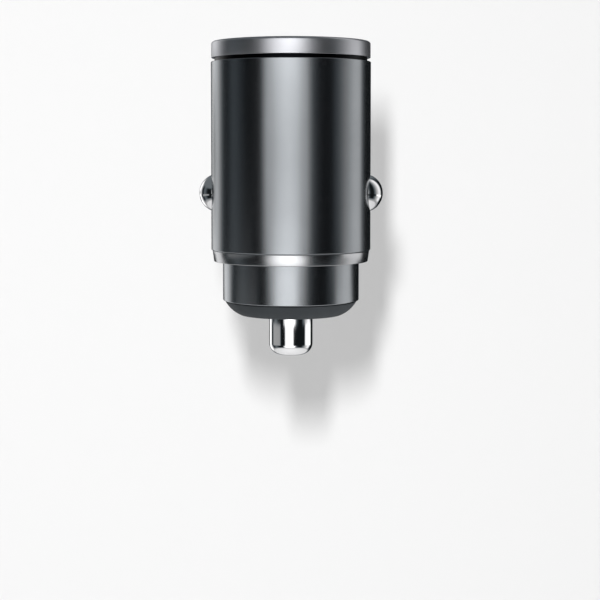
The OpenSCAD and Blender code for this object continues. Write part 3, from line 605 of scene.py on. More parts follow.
def prism(corners, low, high, upright=False, edge=0, segments=6):  # along Z, or along Y when upright
    shape = outline(corners, segments)
    near, far = (low, high) if upright else (-high, -low)
    made = bmesh.ops.extrude_face_region(shape, geom=shape.faces[:])["geom"]
    bmesh.ops.translate(shape, vec=(0, far - near, 0), verts=vertsOf(made))
    bmesh.ops.translate(shape, vec=(0, near, 0), verts=shape.verts[:])
    if not upright:
        moved(shape, turns=[(-90, "X")])
    bmesh.ops.recalc_face_normals(shape, faces=shape.faces[:])
    if edge:
        rims = [item for item in shape.edges if item.calc_face_angle(0) > radians(40)]
        bevelled(shape, rims, edge, 2)
    return shape


def block(low, high, edge=0, segments=3):
    shape = bmesh.new()
    bmesh.ops.create_cube(shape, size=1)
    low, high = Vector(low), Vector(high)
    bmesh.ops.scale(shape, vec=high - low, verts=shape.verts[:])
    bmesh.ops.translate(shape, vec=(low + high) / 2, verts=shape.verts[:])
    if edge:
        bevelled(shape, shape.edges[:], edge, segments)
    return shape


def roundRect(width, height, corner, acrossMid=0, upMid=0):
    half, rise = width / 2, height / 2
    signs = ((-1, -1), (1, -1), (1, 1), (-1, 1))
    return [(acrossMid + x * half, upMid + y * rise, corner) for x, y in signs]


def moved(shape, shift=(0, 0, 0), turns=()):
    for angle, axis in turns:
        matrix = Matrix.Rotation(radians(angle), 3, axis)
        bmesh.ops.rotate(shape, cent=(0, 0, 0), matrix=matrix, verts=shape.verts[:])
    bmesh.ops.translate(shape, vec=shift, verts=shape.verts[:])
    return shape


def joined(*shapes):
    whole = bmesh.new()
    for shape in shapes:
        mesh = bpy.data.meshes.new("passing")
        shape.to_mesh(mesh)
        shape.free()
        whole.from_mesh(mesh)
        bpy.data.meshes.remove(mesh)
    return whole


def loose(shape):
    mesh = bpy.data.meshes.new("passing")
    shape.to_mesh(mesh)
    shape.free()
    piece = bpy.data.objects.new("passing", mesh)
    scene.collection.objects.link(piece)
    return piece


def cut(shape, *cutters, way="DIFFERENCE"):
    base = loose(shape)
    tools = [loose(cutter) for cutter in cutters]
    for tool in tools:
        modifier = base.modifiers.new("cut", "BOOLEAN")
        modifier.operation, modifier.solver, modifier.object = way, "EXACT", tool
    whole = base.evaluated_get(bpy.context.evaluated_depsgraph_get())
    result = bmesh.new()
    result.from_mesh(whole.to_mesh())
    whole.to_mesh_clear()
    for piece in [base] + tools:
        mesh = piece.data
        bpy.data.objects.remove(piece)
        bpy.data.meshes.remove(mesh)
    bmesh.ops.remove_doubles(result, verts=result.verts[:], dist=1e-4)
    return result


def bentStrip(path, width, thickness, bend=0.3, segments=4):  # path is (y, z) along the strip's outer face
    shape = bmesh.new()
    verts = [shape.verts.new((-width / 2, y, z)) for y, z in path]
    edges = [shape.edges.new(pair) for pair in zip(verts, verts[1:])]
    made = bmesh.ops.extrude_edge_only(shape, edges=edges)["geom"]
    bmesh.ops.translate(shape, vec=(width, 0, 0), verts=vertsOf(made))
    folds = [edge for edge in shape.edges if len(edge.link_faces) == 2]
    if folds and bend:
        bevelled(shape, folds, bend, segments)
    bmesh.ops.solidify(shape, geom=shape.faces[:], thickness=thickness)
    return faced(shape)


def coil(radius, wire, turns, rise, perTurn=48, sides=14):  # round wire with a closed turn at each end
    shape = bmesh.new()
    bmesh.ops.create_circle(shape, cap_ends=False, segments=sides, radius=wire / 2)
    moved(shape, (radius, 0, 0), [(90, "X")])
    section = shape.verts[:] + shape.edges[:]
    spread = (rise - 2 * wire) / (turns - 2)
    for count, pitch in ((1, wire), (turns - 2, spread), (1, wire)):
        made = bmesh.ops.spin(
            shape, geom=section, cent=(0, 0, 0), axis=(0, 0, 1), dvec=(0, 0, pitch / perTurn),
            angle=2 * pi * count, steps=perTurn * count)
        section = made["geom_last"]
    return capped(cleaned(shape, 1e-5))


def roundNormals(mesh, radius):  # keeps reflections on a turned wall smooth past the holes cut in it
    normals = [Vector(corner.vector) for corner in mesh.corner_normals]
    for face in mesh.polygons:
        for index in face.loop_indices:
            spot = mesh.vertices[mesh.loops[index].vertex_index].co.xy
            onWall = abs(spot.length - radius) < 2e-6 and abs(face.normal.z) < 0.02
            if onWall and face.normal.xy.dot(spot) > 0:
                if face.normal.xy.normalized().dot(spot.normalized()) > 0.9:
                    normals[index] = Vector((*spot.normalized(), 0))
    mesh.normals_split_custom_set(normals)


def finishPiece(name, shape, slot, nodes=(), body="housing", sharp=35, roundAt=None):
    bmesh.ops.scale(shape, vec=(mm, mm, mm), verts=shape.verts[:])
    mesh = bpy.data.meshes.new(name)
    shape.to_mesh(mesh)
    shape.free()
    mesh.shade_smooth()
    mesh.set_sharp_from_angle(angle=radians(sharp))
    mesh.materials.append(finishes[slot])
    piece = bpy.data.objects.new(name, mesh)
    scene.collection.objects.link(piece)
    if roundAt:
        roundNormals(mesh, roundAt * mm)
    else:
        evened = piece.modifiers.new("evenNormals", "WEIGHTED_NORMAL")
        evened.keep_sharp = True
    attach(piece, body)
    if nodes:
        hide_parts(*nodes)
    return piece


def onSide(shape, side):  # turns a shape made along Z so that it points out at one side contact
    return moved(shape, (0, 0, contactZ), [(90 * side, "Y")])


barrel = {
    "wall": 1.2,
    "chamfer": 0.06,
    "edge": 0.02,  # softness of each corner
    "seatGap": 0.05,
    "guideStep": 0.03,
    "cupWall": 0.4,
    "cupMouth": 0.15,
    "fit": 0.02,
    "rimEdge": 0.1,
}
barrelIn = barrelR - barrel["wall"]


def contactHole():
    seat = ballR + barrel["seatGap"]
    guide = seat + barrel["guideStep"]
    pocket = guide + barrel["cupWall"] + barrel["fit"]
    mouth = barrelIn + barrel["cupMouth"]
    rimUp = barrelR - barrel["rimEdge"]
    stop = atan2(rimUp - ballX, sqrt(seat ** 2 - (rimUp - ballX) ** 2))
    arc = [(seat * cos(stop * i / 8), ballX + seat * sin(stop * i / 8)) for i in range(9)]
    rimOut = arc[-1][0] + barrel["rimEdge"] * 1.4
    return turned([
        (0, 1), (pocket, 1), (pocket, mouth), (guide, mouth), (guide, ballX), *arc[1:],
        (rimOut, barrelR + 0.02), (rimOut, barrelR + 1), (0, barrelR + 1)], steps=96)


def makeBarrel():
    low, high, chamfer, edge = barrelLow.z, barrelHigh.z, barrel["chamfer"], barrel["edge"]
    shape = turned([
        (barrelIn, low, edge), (barrelR - chamfer, low, edge), (barrelR, low + chamfer, edge),
        (barrelR, high - chamfer, edge), (barrelR - chamfer, high, edge), (barrelIn, high, edge)],
        steps=256, segments=4)
    shape = cut(shape, onSide(contactHole(), 1), onSide(contactHole(), -1))
    finishPiece("bodyBarrel", shape, "barrel_metal", ["body_barrel"], sharp=30, roundAt=barrelR)


bezel = {
    "rim": 1.3,
    "rimChamfer": 0.25,
    "round": 0.35,
    "grooveDepth": 0.42,
    "grooveHeight": 0.5,
    "ledge": 0.3,
    "edge": 0.06,
}


def makeBezel():
    low, high = span("bezel_ring")
    outer, inner, spigot = high.x, high.x - bezel["rim"], barrelIn - barrel["fit"]
    ledge, lip = inner - bezel["ledge"], bezel["rimChamfer"]
    grooveTop = barrelHigh.z + bezel["grooveHeight"]
    edge = bezel["edge"]
    shape = turned([
        (ledge, low.z, edge), (spigot, low.z, 0.15), (spigot, barrelHigh.z),
        (outer - bezel["grooveDepth"], barrelHigh.z), (outer - bezel["grooveDepth"], grooveTop, edge),
        (outer, grooveTop, edge), (outer, high.z, bezel["round"]), (inner + lip, high.z, edge),
        (inner, high.z - lip, edge), (inner, plateLow.z), (ledge, plateLow.z, edge)],
        steps=256, segments=5)
    finishPiece("bezelRing", shape, "bezel_metal", ["bezel_ring"], sharp=30)


nose = {
    "wall": 0.95,
    "chamfer": 0.12,
    "collarHeight": 1.5,
    "collarEdge": 0.1,
    "collarTaper": 0.2,
    "collarRound": 0.08,
    "barb": 0.35,
    "barbUp": 0.2,
    "threadPitch": 0.5,
    "threadDepth": 0.16,
    "threadTurns": 5,
    "threadShare": 0.42,  # half of a ridge against the pitch
    "perTurn": 96,
    "radius": 8.9,
}
noseR = nose["radius"]
collarLow = barrelLow.z - nose["collarHeight"]
collarTop = noseHigh.x


def spigotThread(radius, start):  # one fine ridge wound round the spigot
    pitch, depth = nose["threadPitch"], nose["threadDepth"]
    root, half = radius - depth - barrel["fit"], pitch * nose["threadShare"]
    ridge = outline([(root, start - half), (radius, start), (root, start + half)])
    bmesh.ops.delete(ridge, geom=ridge.faces[:], context="FACES_ONLY")
    perTurn = nose["perTurn"]
    bmesh.ops.spin(
        ridge, geom=ridge.verts[:] + ridge.edges[:], cent=(0, 0, 0), axis=(0, 0, 1),
        dvec=(0, 0, pitch / perTurn),
        angle=2 * pi * nose["threadTurns"], steps=perTurn * nose["threadTurns"])
    return capped(cleaned(ridge, 1e-5))


def makeNose():
    inner, spigot = noseR - nose["wall"], barrelIn - barrel["fit"]
    core, barb = spigot - nose["threadDepth"], noseR - nose["wall"] + nose["barb"]
    cutTop, edge = collarLow + nose["barbUp"], nose["collarEdge"]
    shape = turned([
        (inner, noseLow.z, 0.05), (noseR, noseLow.z, nose["chamfer"]), (noseR, collarLow),
        (collarTop - nose["collarTaper"], collarLow, nose["collarRound"]),
        (collarTop, barrelLow.z - edge, 0.04), (collarTop - edge, barrelLow.z), (core, barrelLow.z),
        (core, noseHigh.z, 0.12), (barb, noseHigh.z, 0.08), (barb, cutTop), (inner, cutTop)],
        steps=256, segments=5)
    shape = joined(shape, spigotThread(spigot, barrelLow.z + nose["threadPitch"] * 0.5))
    finishPiece("noseSleeve", shape, "barrel_metal", ["nose_sleeve"], sharp=30)


pin = {
    "radius": 2.85,
    "round": 1.5,
    "stemLow": 5.3,
    "stemStep": 0.25,
    "flangeRadius": 3.7,
    "flangeHeight": 0.8,
    "postRadius": 2.175,
    "postHeight": 1.1,
    "edge": 0.08,
}


def makePin():
    low, high = span("centre_pin")
    radius, stemLow, edge = pin["radius"], pin["stemLow"], pin["edge"]
    stem, flangeTop = radius - pin["stemStep"], high.z - pin["postHeight"]
    flangeLow = flangeTop - pin["flangeHeight"]
    shape = turned([
        (0, low.z), (radius, low.z, pin["round"]), (radius, stemLow, edge),
        (stem, stemLow), (stem, flangeLow), (pin["flangeRadius"], flangeLow, edge),
        (pin["flangeRadius"], flangeTop, edge), (pin["postRadius"], flangeTop),
        (pin["postRadius"], high.z, edge * 2), (0, high.z)], steps=192, segments=24)
    finishPiece("centrePin", shape, "pin_chrome", ["centre_pin"], body="tip", sharp=40)


usbA = {
    "thick": 5.7,
    "sheet": 0.3,
    "corner": 0.6,
    "lip": 0.06,
    "tongueSide": 1.0,
    "tongueThick": 1.84,
    "tongueIn": 1.7,
    "tipRound": 0.15,
    "backGap": 0.7,
    "blockHeight": 2.2,
    "blockUp": 0.1,
    "fingers": 3.3,  # their distance from the middle
    "fingerWidth": 2.2,
    "fingerLength": 5.2,
    "fingerDown": 2.4,
    "fingerIn": 0.32,
    "slit": 0.35,
    "legWidth": 1.6,
    "legUp": 3.0,
    "seam": 0.08,
    "seamJog": [(0, 4.5), (0.7, 4.9), (0.7, 6.1), (0, 6.5)],  # across, and up from the shell's rear
    "pins": [-3.5, -1, 1, 3.5],
    "pinDowns": [0.9, 1.9, 1.9, 0.9],  # from the tongue's tip; the outer two touch first
    "pinWidth": 1.0,
    "strip": 0.2,
    "arch": 0.45,
    "fit": 0.05,
}
usbAMid = shellAHigh.y - usbA["thick"] / 2
usbARear = shellALow.z


def sheetTube(corners, low, high, sheet, lip, segments=6):  # folded sheet metal, open at both ends
    shape = prism(corners, low, high, segments=segments)
    caps = [face for face in shape.faces if abs(face.normal.z) > 0.9]
    bmesh.ops.delete(shape, geom=caps, context="FACES")
    bmesh.ops.solidify(shape, geom=shape.faces[:], thickness=sheet)
    bmesh.ops.recalc_face_normals(shape, faces=shape.faces[:])
    rims = [edge for edge in shape.edges if edge.calc_face_angle(0) > 1 and all(
        abs(vert.co.z - high) < 1e-3 for vert in edge.verts)]
    return bevelled(shape, rims, lip, 3)


def makeUsbAShell():
    sheet, mid, half = usbA["sheet"], usbAMid, usbA["thick"] / 2
    free = mouthZ - usbA["fingerDown"]
    root = free - usbA["fingerLength"]
    corners = roundRect(shellAHigh.x * 2, usbA["thick"], usbA["corner"], 0, mid)
    shape = sheetTube(corners, usbARear, mouthZ, sheet, usbA["lip"])
    windows, fingers = [], []
    for side in (-1, 1):
        for x in (-usbA["fingers"], usbA["fingers"]):
            wide = usbA["fingerWidth"] / 2 + usbA["slit"]
            wall = mid + side * (half - sheet / 2)
            windows.append(block((x - wide, wall - sheet, root), (x + wide, wall + sheet, free)))
            face, inward = mid + side * half, -side * usbA["fingerIn"]
            path = [
                (face, root - 0.15), (face, root + 0.4), (face + inward, free - 1.1),
                (face + inward * 0.4, free - 0.3)]
            strip = bentStrip(path if side < 0 else path[::-1], usbA["fingerWidth"], sheet, bend=0.5)
            fingers.append(moved(strip, (x, 0, 0)))
    zigzag = [(0, usbARear - 1), *[(x, usbARear + up) for x, up in usbA["seamJog"]], (0, mouthZ + 1)]
    front = mid - half
    seam = prism(
        zigzag + [(x + usbA["seam"], z) for x, z in zigzag[::-1]], front - 1, front + sheet + 0.1,
        upright=True)
    shape = cut(shape, *windows, seam)
    legs = []
    for side in (-1, 1):
        inner, outer = sorted((side * shellAHigh.x, side * (shellAHigh.x - sheet)))
        low = usbARear + usbA["legUp"]
        reach = front + usbA["corner"] + 0.1
        legs.append(block((inner, shellALow.y, low), (outer, reach, low + usbA["legWidth"]), edge=0.06))
    finishPiece("usbAShell", joined(shape, *fingers, *legs), "port_shell", ["usb_a_shell"])


tongueHigh = usbAMid + usbA["thick"] / 2 - usbA["sheet"] - usbA["backGap"]
tongueLow = tongueHigh - usbA["tongueThick"]
tongueTip = mouthZ - usbA["tongueIn"]


def sideways(shape):  # a shape drawn as (across, up) now faces along X
    return moved(shape, turns=[(90, "Z")])


def makeUsbATongue():
    wide = shellAHigh.x - usbA["tongueSide"]
    inner = usbA["sheet"] + usbA["fit"]
    body = prism(
        roundRect(2 * (shellAHigh.x - inner), usbA["thick"] - 2 * inner, 0.3, 0, usbAMid),
        usbARear + usbA["blockUp"], usbARear + usbA["blockUp"] + usbA["blockHeight"], edge=0.08)
    soft = usbA["tipRound"]
    blade = sideways(prism([
        (tongueLow, usbARear + 1), (tongueHigh, usbARear + 1), (tongueHigh, tongueTip - 0.5, soft),
        (tongueHigh - 0.4, tongueTip, soft), (tongueLow + 0.3, tongueTip, soft),
        (tongueLow, tongueTip - 0.3, soft)], -wide, wide, upright=True, segments=3))
    grooves = []
    for pin in usbA["pins"]:
        half = usbA["pinWidth"] / 2 + usbA["fit"]
        depth = tongueLow + usbA["strip"] / 2 + usbA["fit"]
        grooves.append(block(
            (pin - half, tongueLow - 1, usbARear - 1), (pin + half, depth, tongueTip - 0.8)))
    rib = block(
        (-wide, tongueHigh - 0.05, usbARear + 2), (wide, tongueHigh + 0.25, usbARear + 3.2), edge=0.1)
    whole = cut(cut(body, blade, way="UNION"), *grooves)
    finishPiece("usbATongue", joined(whole, rib), "usb_a_insulator", ["usb_a_tongue"])


def makeUsbAContacts():
    strips = []
    foot = span("usb_a_contacts")[0].z
    for pin, down in zip(usbA["pins"], usbA["pinDowns"]):
        top = tongueTip - down
        face, arch = tongueLow - usbA["strip"] / 2, usbA["arch"]
        path = [
            (boardFront + usbA["fit"], foot), (face, foot), (face, top - 4.6), (face - arch, top - 2.6),
            (face - arch * 0.9, top - 1.8), (face + 0.05, top - 0.2)]
        strips.append(moved(bentStrip(path, usbA["pinWidth"], -usbA["strip"], bend=0.35), (pin, 0, 0)))
    finishPiece("usbAContacts", joined(*strips), "gold_contacts", ["usb_a_contacts"], sharp=40)


usbC = {
    "thick": 3.16,
    "sheet": 0.3,
    "lip": 0.06,
    "tongueSide": 1.125,
    "tongueThick": 0.7,
    "tongueIn": 1.3,
    "blockHeight": 1.9,
    "pins": [-5.5, -2.5, -1.5, -0.5, 0.5, 1.5, 2.5, 5.5],
    "pitch": 0.5,
    "pinWidth": 0.26,
    "strip": 0.1,
    "legs": 2.6,
    "legWidth": 0.9,
    "legUps": (0.6, 4.1),
    "dimples": 2.4,
    "seam": 0.06,
}
usbCMid = shellCLow.y + usbC["thick"] / 2
usbCRear = shellCLow.z


def makeUsbCShell():
    sheet, half = usbC["sheet"], usbC["thick"] / 2
    corners = roundRect(shellCHigh.x * 2, usbC["thick"], half - 0.01, 0, usbCMid)
    tube = sheetTube(corners, usbCRear, mouthZ, sheet, usbC["lip"], segments=14)
    back, seamHalf = usbCMid + half, usbC["seam"] / 2
    seam = block((-seamHalf, back - sheet - 0.1, usbCRear - 1), (seamHalf, back + 1, mouthZ - 0.6))
    tube = cut(tube, seam)
    extras = []
    for x in (-usbC["legs"], usbC["legs"]):
        for up in usbC["legUps"]:
            wide, low = usbC["legWidth"] / 2, usbCRear + up
            extras.append(block(
                (x - wide, back - sheet / 2, low), (x + wide, shellCHigh.y, low + sheet), edge=0.05))
    for x in (-usbC["dimples"], usbC["dimples"]):
        bump = turned([(0, 0), (0.55, 0, 0.06), (0.3, 0.14, 0.1), (0, 0.14)], steps=32, segments=3)
        extras.append(moved(bump, (x, usbCMid - half + sheet, mouthZ - 3), [(-90, "X")]))
    finishPiece("usbCShell", joined(tube, *extras), "port_shell", ["usb_c_shell"])


def makeUsbCTongue():
    inner = usbC["sheet"] + usbA["fit"]
    wide, thick = shellCHigh.x - usbC["tongueSide"], usbC["tongueThick"]
    blockTop = usbCRear + 0.1 + usbC["blockHeight"]
    half = usbC["thick"] / 2 - inner
    body = prism(
        roundRect(2 * (shellCHigh.x - inner), usbC["thick"] - 2 * inner, half, 0, usbCMid),
        usbCRear + 0.1, blockTop, edge=0.06, segments=12)
    root = prism(
        roundRect(2 * wide, thick + 0.5, 0.2, 0, usbCMid), blockTop - 0.2, blockTop + 0.55, edge=0.06)
    blade = prism(
        roundRect(2 * wide, thick, 0.2, 0, usbCMid), usbCRear + 1, mouthZ - usbC["tongueIn"], edge=0.09,
        segments=4)
    finishPiece("usbCTongue", joined(body, root, blade), "usb_c_insulator", ["usb_c_tongue"])


def makeUsbCContacts():
    low, high = span("usb_c_contacts")
    strips = []
    for side in (-1, 1):
        for pin in usbC["pins"]:
            face = usbCMid + side * (usbC["tongueThick"] / 2 + usbC["strip"] / 4)
            back = usbCMid + side * (usbC["tongueThick"] / 2 - usbC["strip"] * 3 / 4)
            near, far = sorted((face, back))
            wide, x = usbC["pinWidth"] / 2, pin * usbC["pitch"]
            strips.append(block((x - wide, near, low.z), (x + wide, far, high.z), edge=0.02, segments=2))
    finishPiece("usbCContacts", joined(*strips), "gold_contacts", ["usb_c_contacts"])


light = {
    "radius": 0.6,
    "dome": 0.1,
    "footHeight": 0.8,
    "window": 0.36,
    "pad": 0.16,
}


def makeStatusLight():
    low, high = span("status_lens")
    x = high.x - light["radius"]
    guide = turned([
        (0, low.z), (light["radius"], low.z, 0.05), (light["radius"], high.z, light["dome"]),
        (0, high.z)], steps=64)
    foot = block(
        (x - light["radius"], usbCMid, low.z), (high.x, high.y, low.z + light["footHeight"]), edge=0.05)
    finishPiece("statusLens", joined(moved(guide, (x, usbCMid, 0)), foot), "lens", ["status_lens"])
    low, high = span("status_led")
    case = block(low, high, edge=0.04)
    glow = turned([
        (0, 0), (light["window"], 0), (light["window"], 0.06, 0.03), (0, 0.06)], steps=32, segments=2)
    glow = moved(glow, ((low.x + high.x) / 2, (low.y + high.y) / 2, high.z - 0.02))
    pads = [block(
        (edge - light["pad"] / 2, high.y - 0.3, low.z + 0.1),
        (edge + light["pad"] / 2, high.y - 0.01, high.z - 0.1), edge=0.03)
        for edge in (low.x + light["pad"] / 2, high.x - light["pad"] / 2)]
    finishPiece("statusLight", joined(case, glow, *pads), "led_body", ["status_led"])


plate = {
    "edge": 0.1,
    "mouthEdge": 0.28,
    "fit": 0.05,
}


def mouthCutter(width, height, corner, mid, segments=8):  # hole with a rounded edge at the plate's face
    soft, steps = plate["mouthEdge"], 6
    rings = [(0, plateLow.z - 1)]
    for step in range(steps + 1):
        angle = pi / 2 * step / steps
        rings.append((soft - soft * cos(angle), plateHigh.z - soft + soft * sin(angle)))
    rings.append((soft, plateHigh.z + 1))
    loops = []
    for grow, up in rings:
        corners = roundRect(width + 2 * grow, height + 2 * grow, corner + grow - 0.01, 0, mid)
        loop = outline(corners, segments)
        bmesh.ops.delete(loop, geom=loop.faces[:], context="FACES_ONLY")
        loops.append(moved(loop, (0, 0, up), [(-90, "X")]))
    shape = joined(*loops)
    shape.edges.ensure_lookup_table()
    each = len(shape.edges) // len(rings)
    for number in range(len(rings) - 1):
        bmesh.ops.bridge_loops(shape, edges=shape.edges[number * each:(number + 2) * each])
        shape.edges.ensure_lookup_table()
    return capped(shape)


def makePlate():
    fit, through = plate["fit"], (plateLow.z - 1, plateHigh.z + 1)
    lensHigh = span("status_lens")[1]
    shape = turned([
        (0, plateLow.z), (plateHigh.x, plateLow.z, plate["edge"]),
        (plateHigh.x, plateHigh.z, plate["edge"]), (0, plateHigh.z)], steps=192)
    bmesh.ops.dissolve_limit(shape, angle_limit=radians(0.5), verts=shape.verts[:], edges=shape.edges[:])
    bore = light["radius"] + fit
    hole = turned([(0, through[0]), (bore, through[0]), (bore, through[1]), (0, through[1])], steps=48)
    shape = cut(
        shape,
        mouthCutter(2 * (shellAHigh.x + fit), usbA["thick"] + 2 * fit, usbA["corner"] + fit, usbAMid),
        mouthCutter(
            2 * (shellCHigh.x + fit), usbC["thick"] + 2 * fit, usbC["thick"] / 2 + fit, usbCMid, 14),
        moved(hole, (lensHigh.x - light["radius"], usbCMid, 0)))
    finishPiece("portPlate", shape, "face_plastic", ["port_plate"], sharp=40)


# Circuit board and what is soldered to it

board = {
    "cut": 0.6,
    "neckGap": 0.45,
    "leadHole": 0.35,
    "ring": 0.3,  # copper left round a hole
    "copper": 0.05,
}


def makeBoard():
    neck = span("right_contact_cup")[0].x - board["neckGap"]
    step, wide = cupStep, boardHigh.x
    corners = [
        (-neck, boardLow.z, 0.3), (neck, boardLow.z, 0.3), (neck, step, 0.3), (wide - board["cut"], step),
        (wide, step + board["cut"]), (wide, boardHigh.z, 0.4), (-wide, boardHigh.z, 0.4),
        (-wide, step + board["cut"]), (-wide + board["cut"], step), (-neck, step, 0.3)]
    slab = prism(corners, boardBack, boardFront, upright=True, segments=4)
    cutters = []
    legLow = usbARear + usbA["legUp"]
    for side in (-1, 1):
        inner, outer = sorted((side * (shellAHigh.x + 0.1), side * (shellAHigh.x - usbA["sheet"] - 0.1)))
        cutters.append(block(
            (inner, boardBack - 1, legLow - 0.1), (outer, boardFront + 1, legLow + usbA["legWidth"] + 0.1)))
        hole = turned([(0, -3), (board["leadHole"], -3), (board["leadHole"], 3), (0, 3)], steps=32)
        cutters.append(moved(hole, (side * leadX, boardFront, leadZ), [(90, "X")]))
    finishPiece("mainBoard", cut(slab, *cutters), "board_laminate", ["main_board"])


def pad(x, z, wide, tall, back=True):  # flat tinned pad on the board, with its own thickness
    face = boardBack if back else boardFront
    out = -board["copper"] if back else board["copper"]
    near, far = sorted((face, face + out))
    return block(
        (x - wide / 2, near, z - tall / 2), (x + wide / 2, far, z + tall / 2), edge=0.02, segments=2)


def makeBoardPads():
    pads = []
    legMid = usbARear + usbA["legUp"] + usbA["legWidth"] / 2
    for side in (-1, 1):
        for back in (True, False):
            face = boardBack if back else boardFront
            out = -board["copper"] if back else board["copper"]
            near, far = sorted((face, face + out))
            around = board["leadHole"] + board["ring"]
            eye = turned([
                (board["leadHole"], near), (around, near), (around, far), (board["leadHole"], far)],
                steps=48, segments=2)
            pads.append(moved(eye, (side * leadX, near + far, leadZ), [(90, "X")]))
        pads.append(pad(side * (shellAHigh.x + 0.45), legMid, 0.5, 2.2))
    for name in ("controller_chip", "port_chip"):
        low, high = span(name)
        for k in range(4):
            up = low.z + 0.45 + 0.7 * k
            pads.append(pad(low.x - 0.02, up, 0.24, 0.34))
            pads.append(pad(high.x + 0.02, up, 0.24, 0.34))
    low, high = span("power_inductor")
    for side in (-1, 1):
        pads.append(pad(side * (high.x + 0.02), (low.z + high.z) / 2, 0.24, 2.9))
    pads.append(pad(0, boardLow.z + 1.2, 2.8, 1.4, back=True))
    finishPiece("boardPads", joined(*pads), "port_shell")


capacitor = {
    "crimpUp": 1.5,
    "crimp": 0.22,
    "edge": 0.25,
    "bung": 1.9,
    "lead": 0.25,
    "leadRise": 0.4,
    "leadX": 1.0,
    "bend": 0.35,
}
leadX = capacitor["leadX"]
leadZ = capHigh.z - capacitor["lead"]
canTop = leadZ - capacitor["leadRise"]
cupStep = span("board_carrier")[0].z + 0.3


def pulled(shape, ring, shift):  # draws a ring of edges out into a tube and returns its far end
    edges = [item for item in ring if isinstance(item, bmesh.types.BMEdge)]
    made = bmesh.ops.extrude_edge_only(shape, edges=edges)["geom"]
    verts = vertsOf(made)
    bmesh.ops.translate(shape, vec=shift, verts=verts)
    return verts + [
        item for item in made
        if isinstance(item, bmesh.types.BMEdge) and all(vert in verts for vert in item.verts)]


def makeCapacitor():
    edge, dip, up = capacitor["edge"], capacitor["crimp"], canTop - capacitor["crimpUp"]
    can = turned([
        (0, capLow.z + 0.05), (canR - edge * 2, capLow.z + 0.05), (canR - edge * 1.6, capLow.z, 0.05),
        (canR, capLow.z, edge), (canR, up - 0.4, 0.12), (canR - dip, up, 0.2), (canR, up + 0.4, 0.12),
        (canR, canTop, edge), (canR - 0.5, canTop, 0.05), (canR - 0.5, canTop - 0.15),
        (0, canTop - 0.15)], steps=96, segments=4)
    bung = turned([
        (0, canTop - 0.3), (capacitor["bung"], canTop - 0.3), (capacitor["bung"], canTop - 0.02, 0.1),
        (0, canTop - 0.02)], steps=64)
    body = moved(joined(can, bung), (0, canY, 0))
    leads = []
    for side in (-1, 1):
        wire = bmesh.new()
        bmesh.ops.create_circle(wire, cap_ends=False, segments=16, radius=capacitor["lead"])
        moved(wire, (0, 0, canTop - 0.4))
        bend, straight = capacitor["bend"], leadZ - canTop + 0.4 - capacitor["bend"]
        ring = pulled(wire, wire.edges[:], (0, 0, straight))
        ring = bmesh.ops.spin(
            wire, geom=ring, cent=(0, -bend, canTop - 0.4 + straight), axis=(1, 0, 0), angle=pi / 2,
            steps=8)["geom_last"]
        pulled(wire, ring, (0, -(canY - bend - boardBack - 0.05), 0))
        leads.append(moved(cleaned(capped(wire)), (side * leadX, canY, 0)))
    finishPiece("inputCapacitor", body, "capacitor_can", ["input_capacitor"])
    finishPiece("capacitorLeads", joined(*leads), "port_shell")


inductor = {
    "corner": 0.8,
    "edge": 0.15,
    "standOff": 0.1,
    "padWidth": 1.3,
    "padHeight": 2.6,
    "padThick": 1.0,
    "foil": 0.12,
}


def makeInductor():
    low, high = span("power_inductor")
    half, mid = high.x, (low.z + high.z) / 2
    corner = inductor["corner"]
    core = prism([
        (-half, low.z + corner), (-half + corner, low.z), (half - corner, low.z), (half, low.z + corner),
        (half, high.z - corner), (half - corner, high.z), (-half + corner, high.z),
        (-half, high.z - corner)],
        low.y, high.y - inductor["standOff"], upright=True, edge=inductor["edge"])
    finishPiece("powerInductor", core, "inductor_block", ["power_inductor"], sharp=50)
    feet = []
    for side in (-1, 1):
        foil, tall = inductor["foil"], inductor["padHeight"] / 2
        path = [
            (high.y, 0), (high.y, inductor["padWidth"]),
            (high.y - inductor["padThick"], inductor["padWidth"])]
        foot = moved(bentStrip(path, 2 * tall, foil, bend=0.1), turns=[(90, "Y")])
        feet.append(mirrored(moved(foot, (half - inductor["padWidth"] - 0.02, 0, mid)), side))
    finishPiece("inductorFeet", joined(*feet), "port_shell")


def mirrored(shape, side):
    if side < 0:
        bmesh.ops.scale(shape, vec=(-1, 1, 1), verts=shape.verts[:])
        bmesh.ops.reverse_faces(shape, faces=shape.faces[:])
    return shape


chip = {
    "edge": 0.06,
    "dimple": 0.25,
    "dimpleDeep": 0.08,
    "padWidth": 0.28,
    "padThick": 0.2,
    "pads": 4,
}


def makeChips():
    for name, node in (("controllerChip", "controller_chip"), ("portChip", "port_chip")):
        low, high = span(node)
        mark = 2 * chip["dimple"]
        dimple = moved(turned([
            (0, -chip["dimpleDeep"]), (chip["dimple"] * 0.8, -chip["dimpleDeep"], 0.03),
            (chip["dimple"], 1), (0, 1)],
            steps=32, segments=2), (low.x + mark, low.y, high.z - mark), [(90, "X")])
        body = cut(block(low, (high.x, high.y - 0.02, high.z), edge=chip["edge"]), dimple)
        finishPiece(name, body, "chip_black", [node])
        pitch, wide, thick = (high.z - low.z) / (chip["pads"] + 0.3), chip["padWidth"], chip["padThick"]
        pads = []
        for k in range(chip["pads"]):
            mid = (low.z + high.z) / 2 + pitch * (k - (chip["pads"] - 1) / 2)
            for side in (low.x, high.x):
                pads.append(block(
                    (side - 0.03, high.y - thick, mid - wide / 2), (side + 0.03, high.y, mid + wide / 2),
                    edge=0.02, segments=2))
        finishPiece(name + "Pads", joined(*pads), "port_shell")


transistor = {
    "edge": 0.07,
    "leadWidth": 0.35,
    "leadThick": 0.16,
    "leads": 3,
}


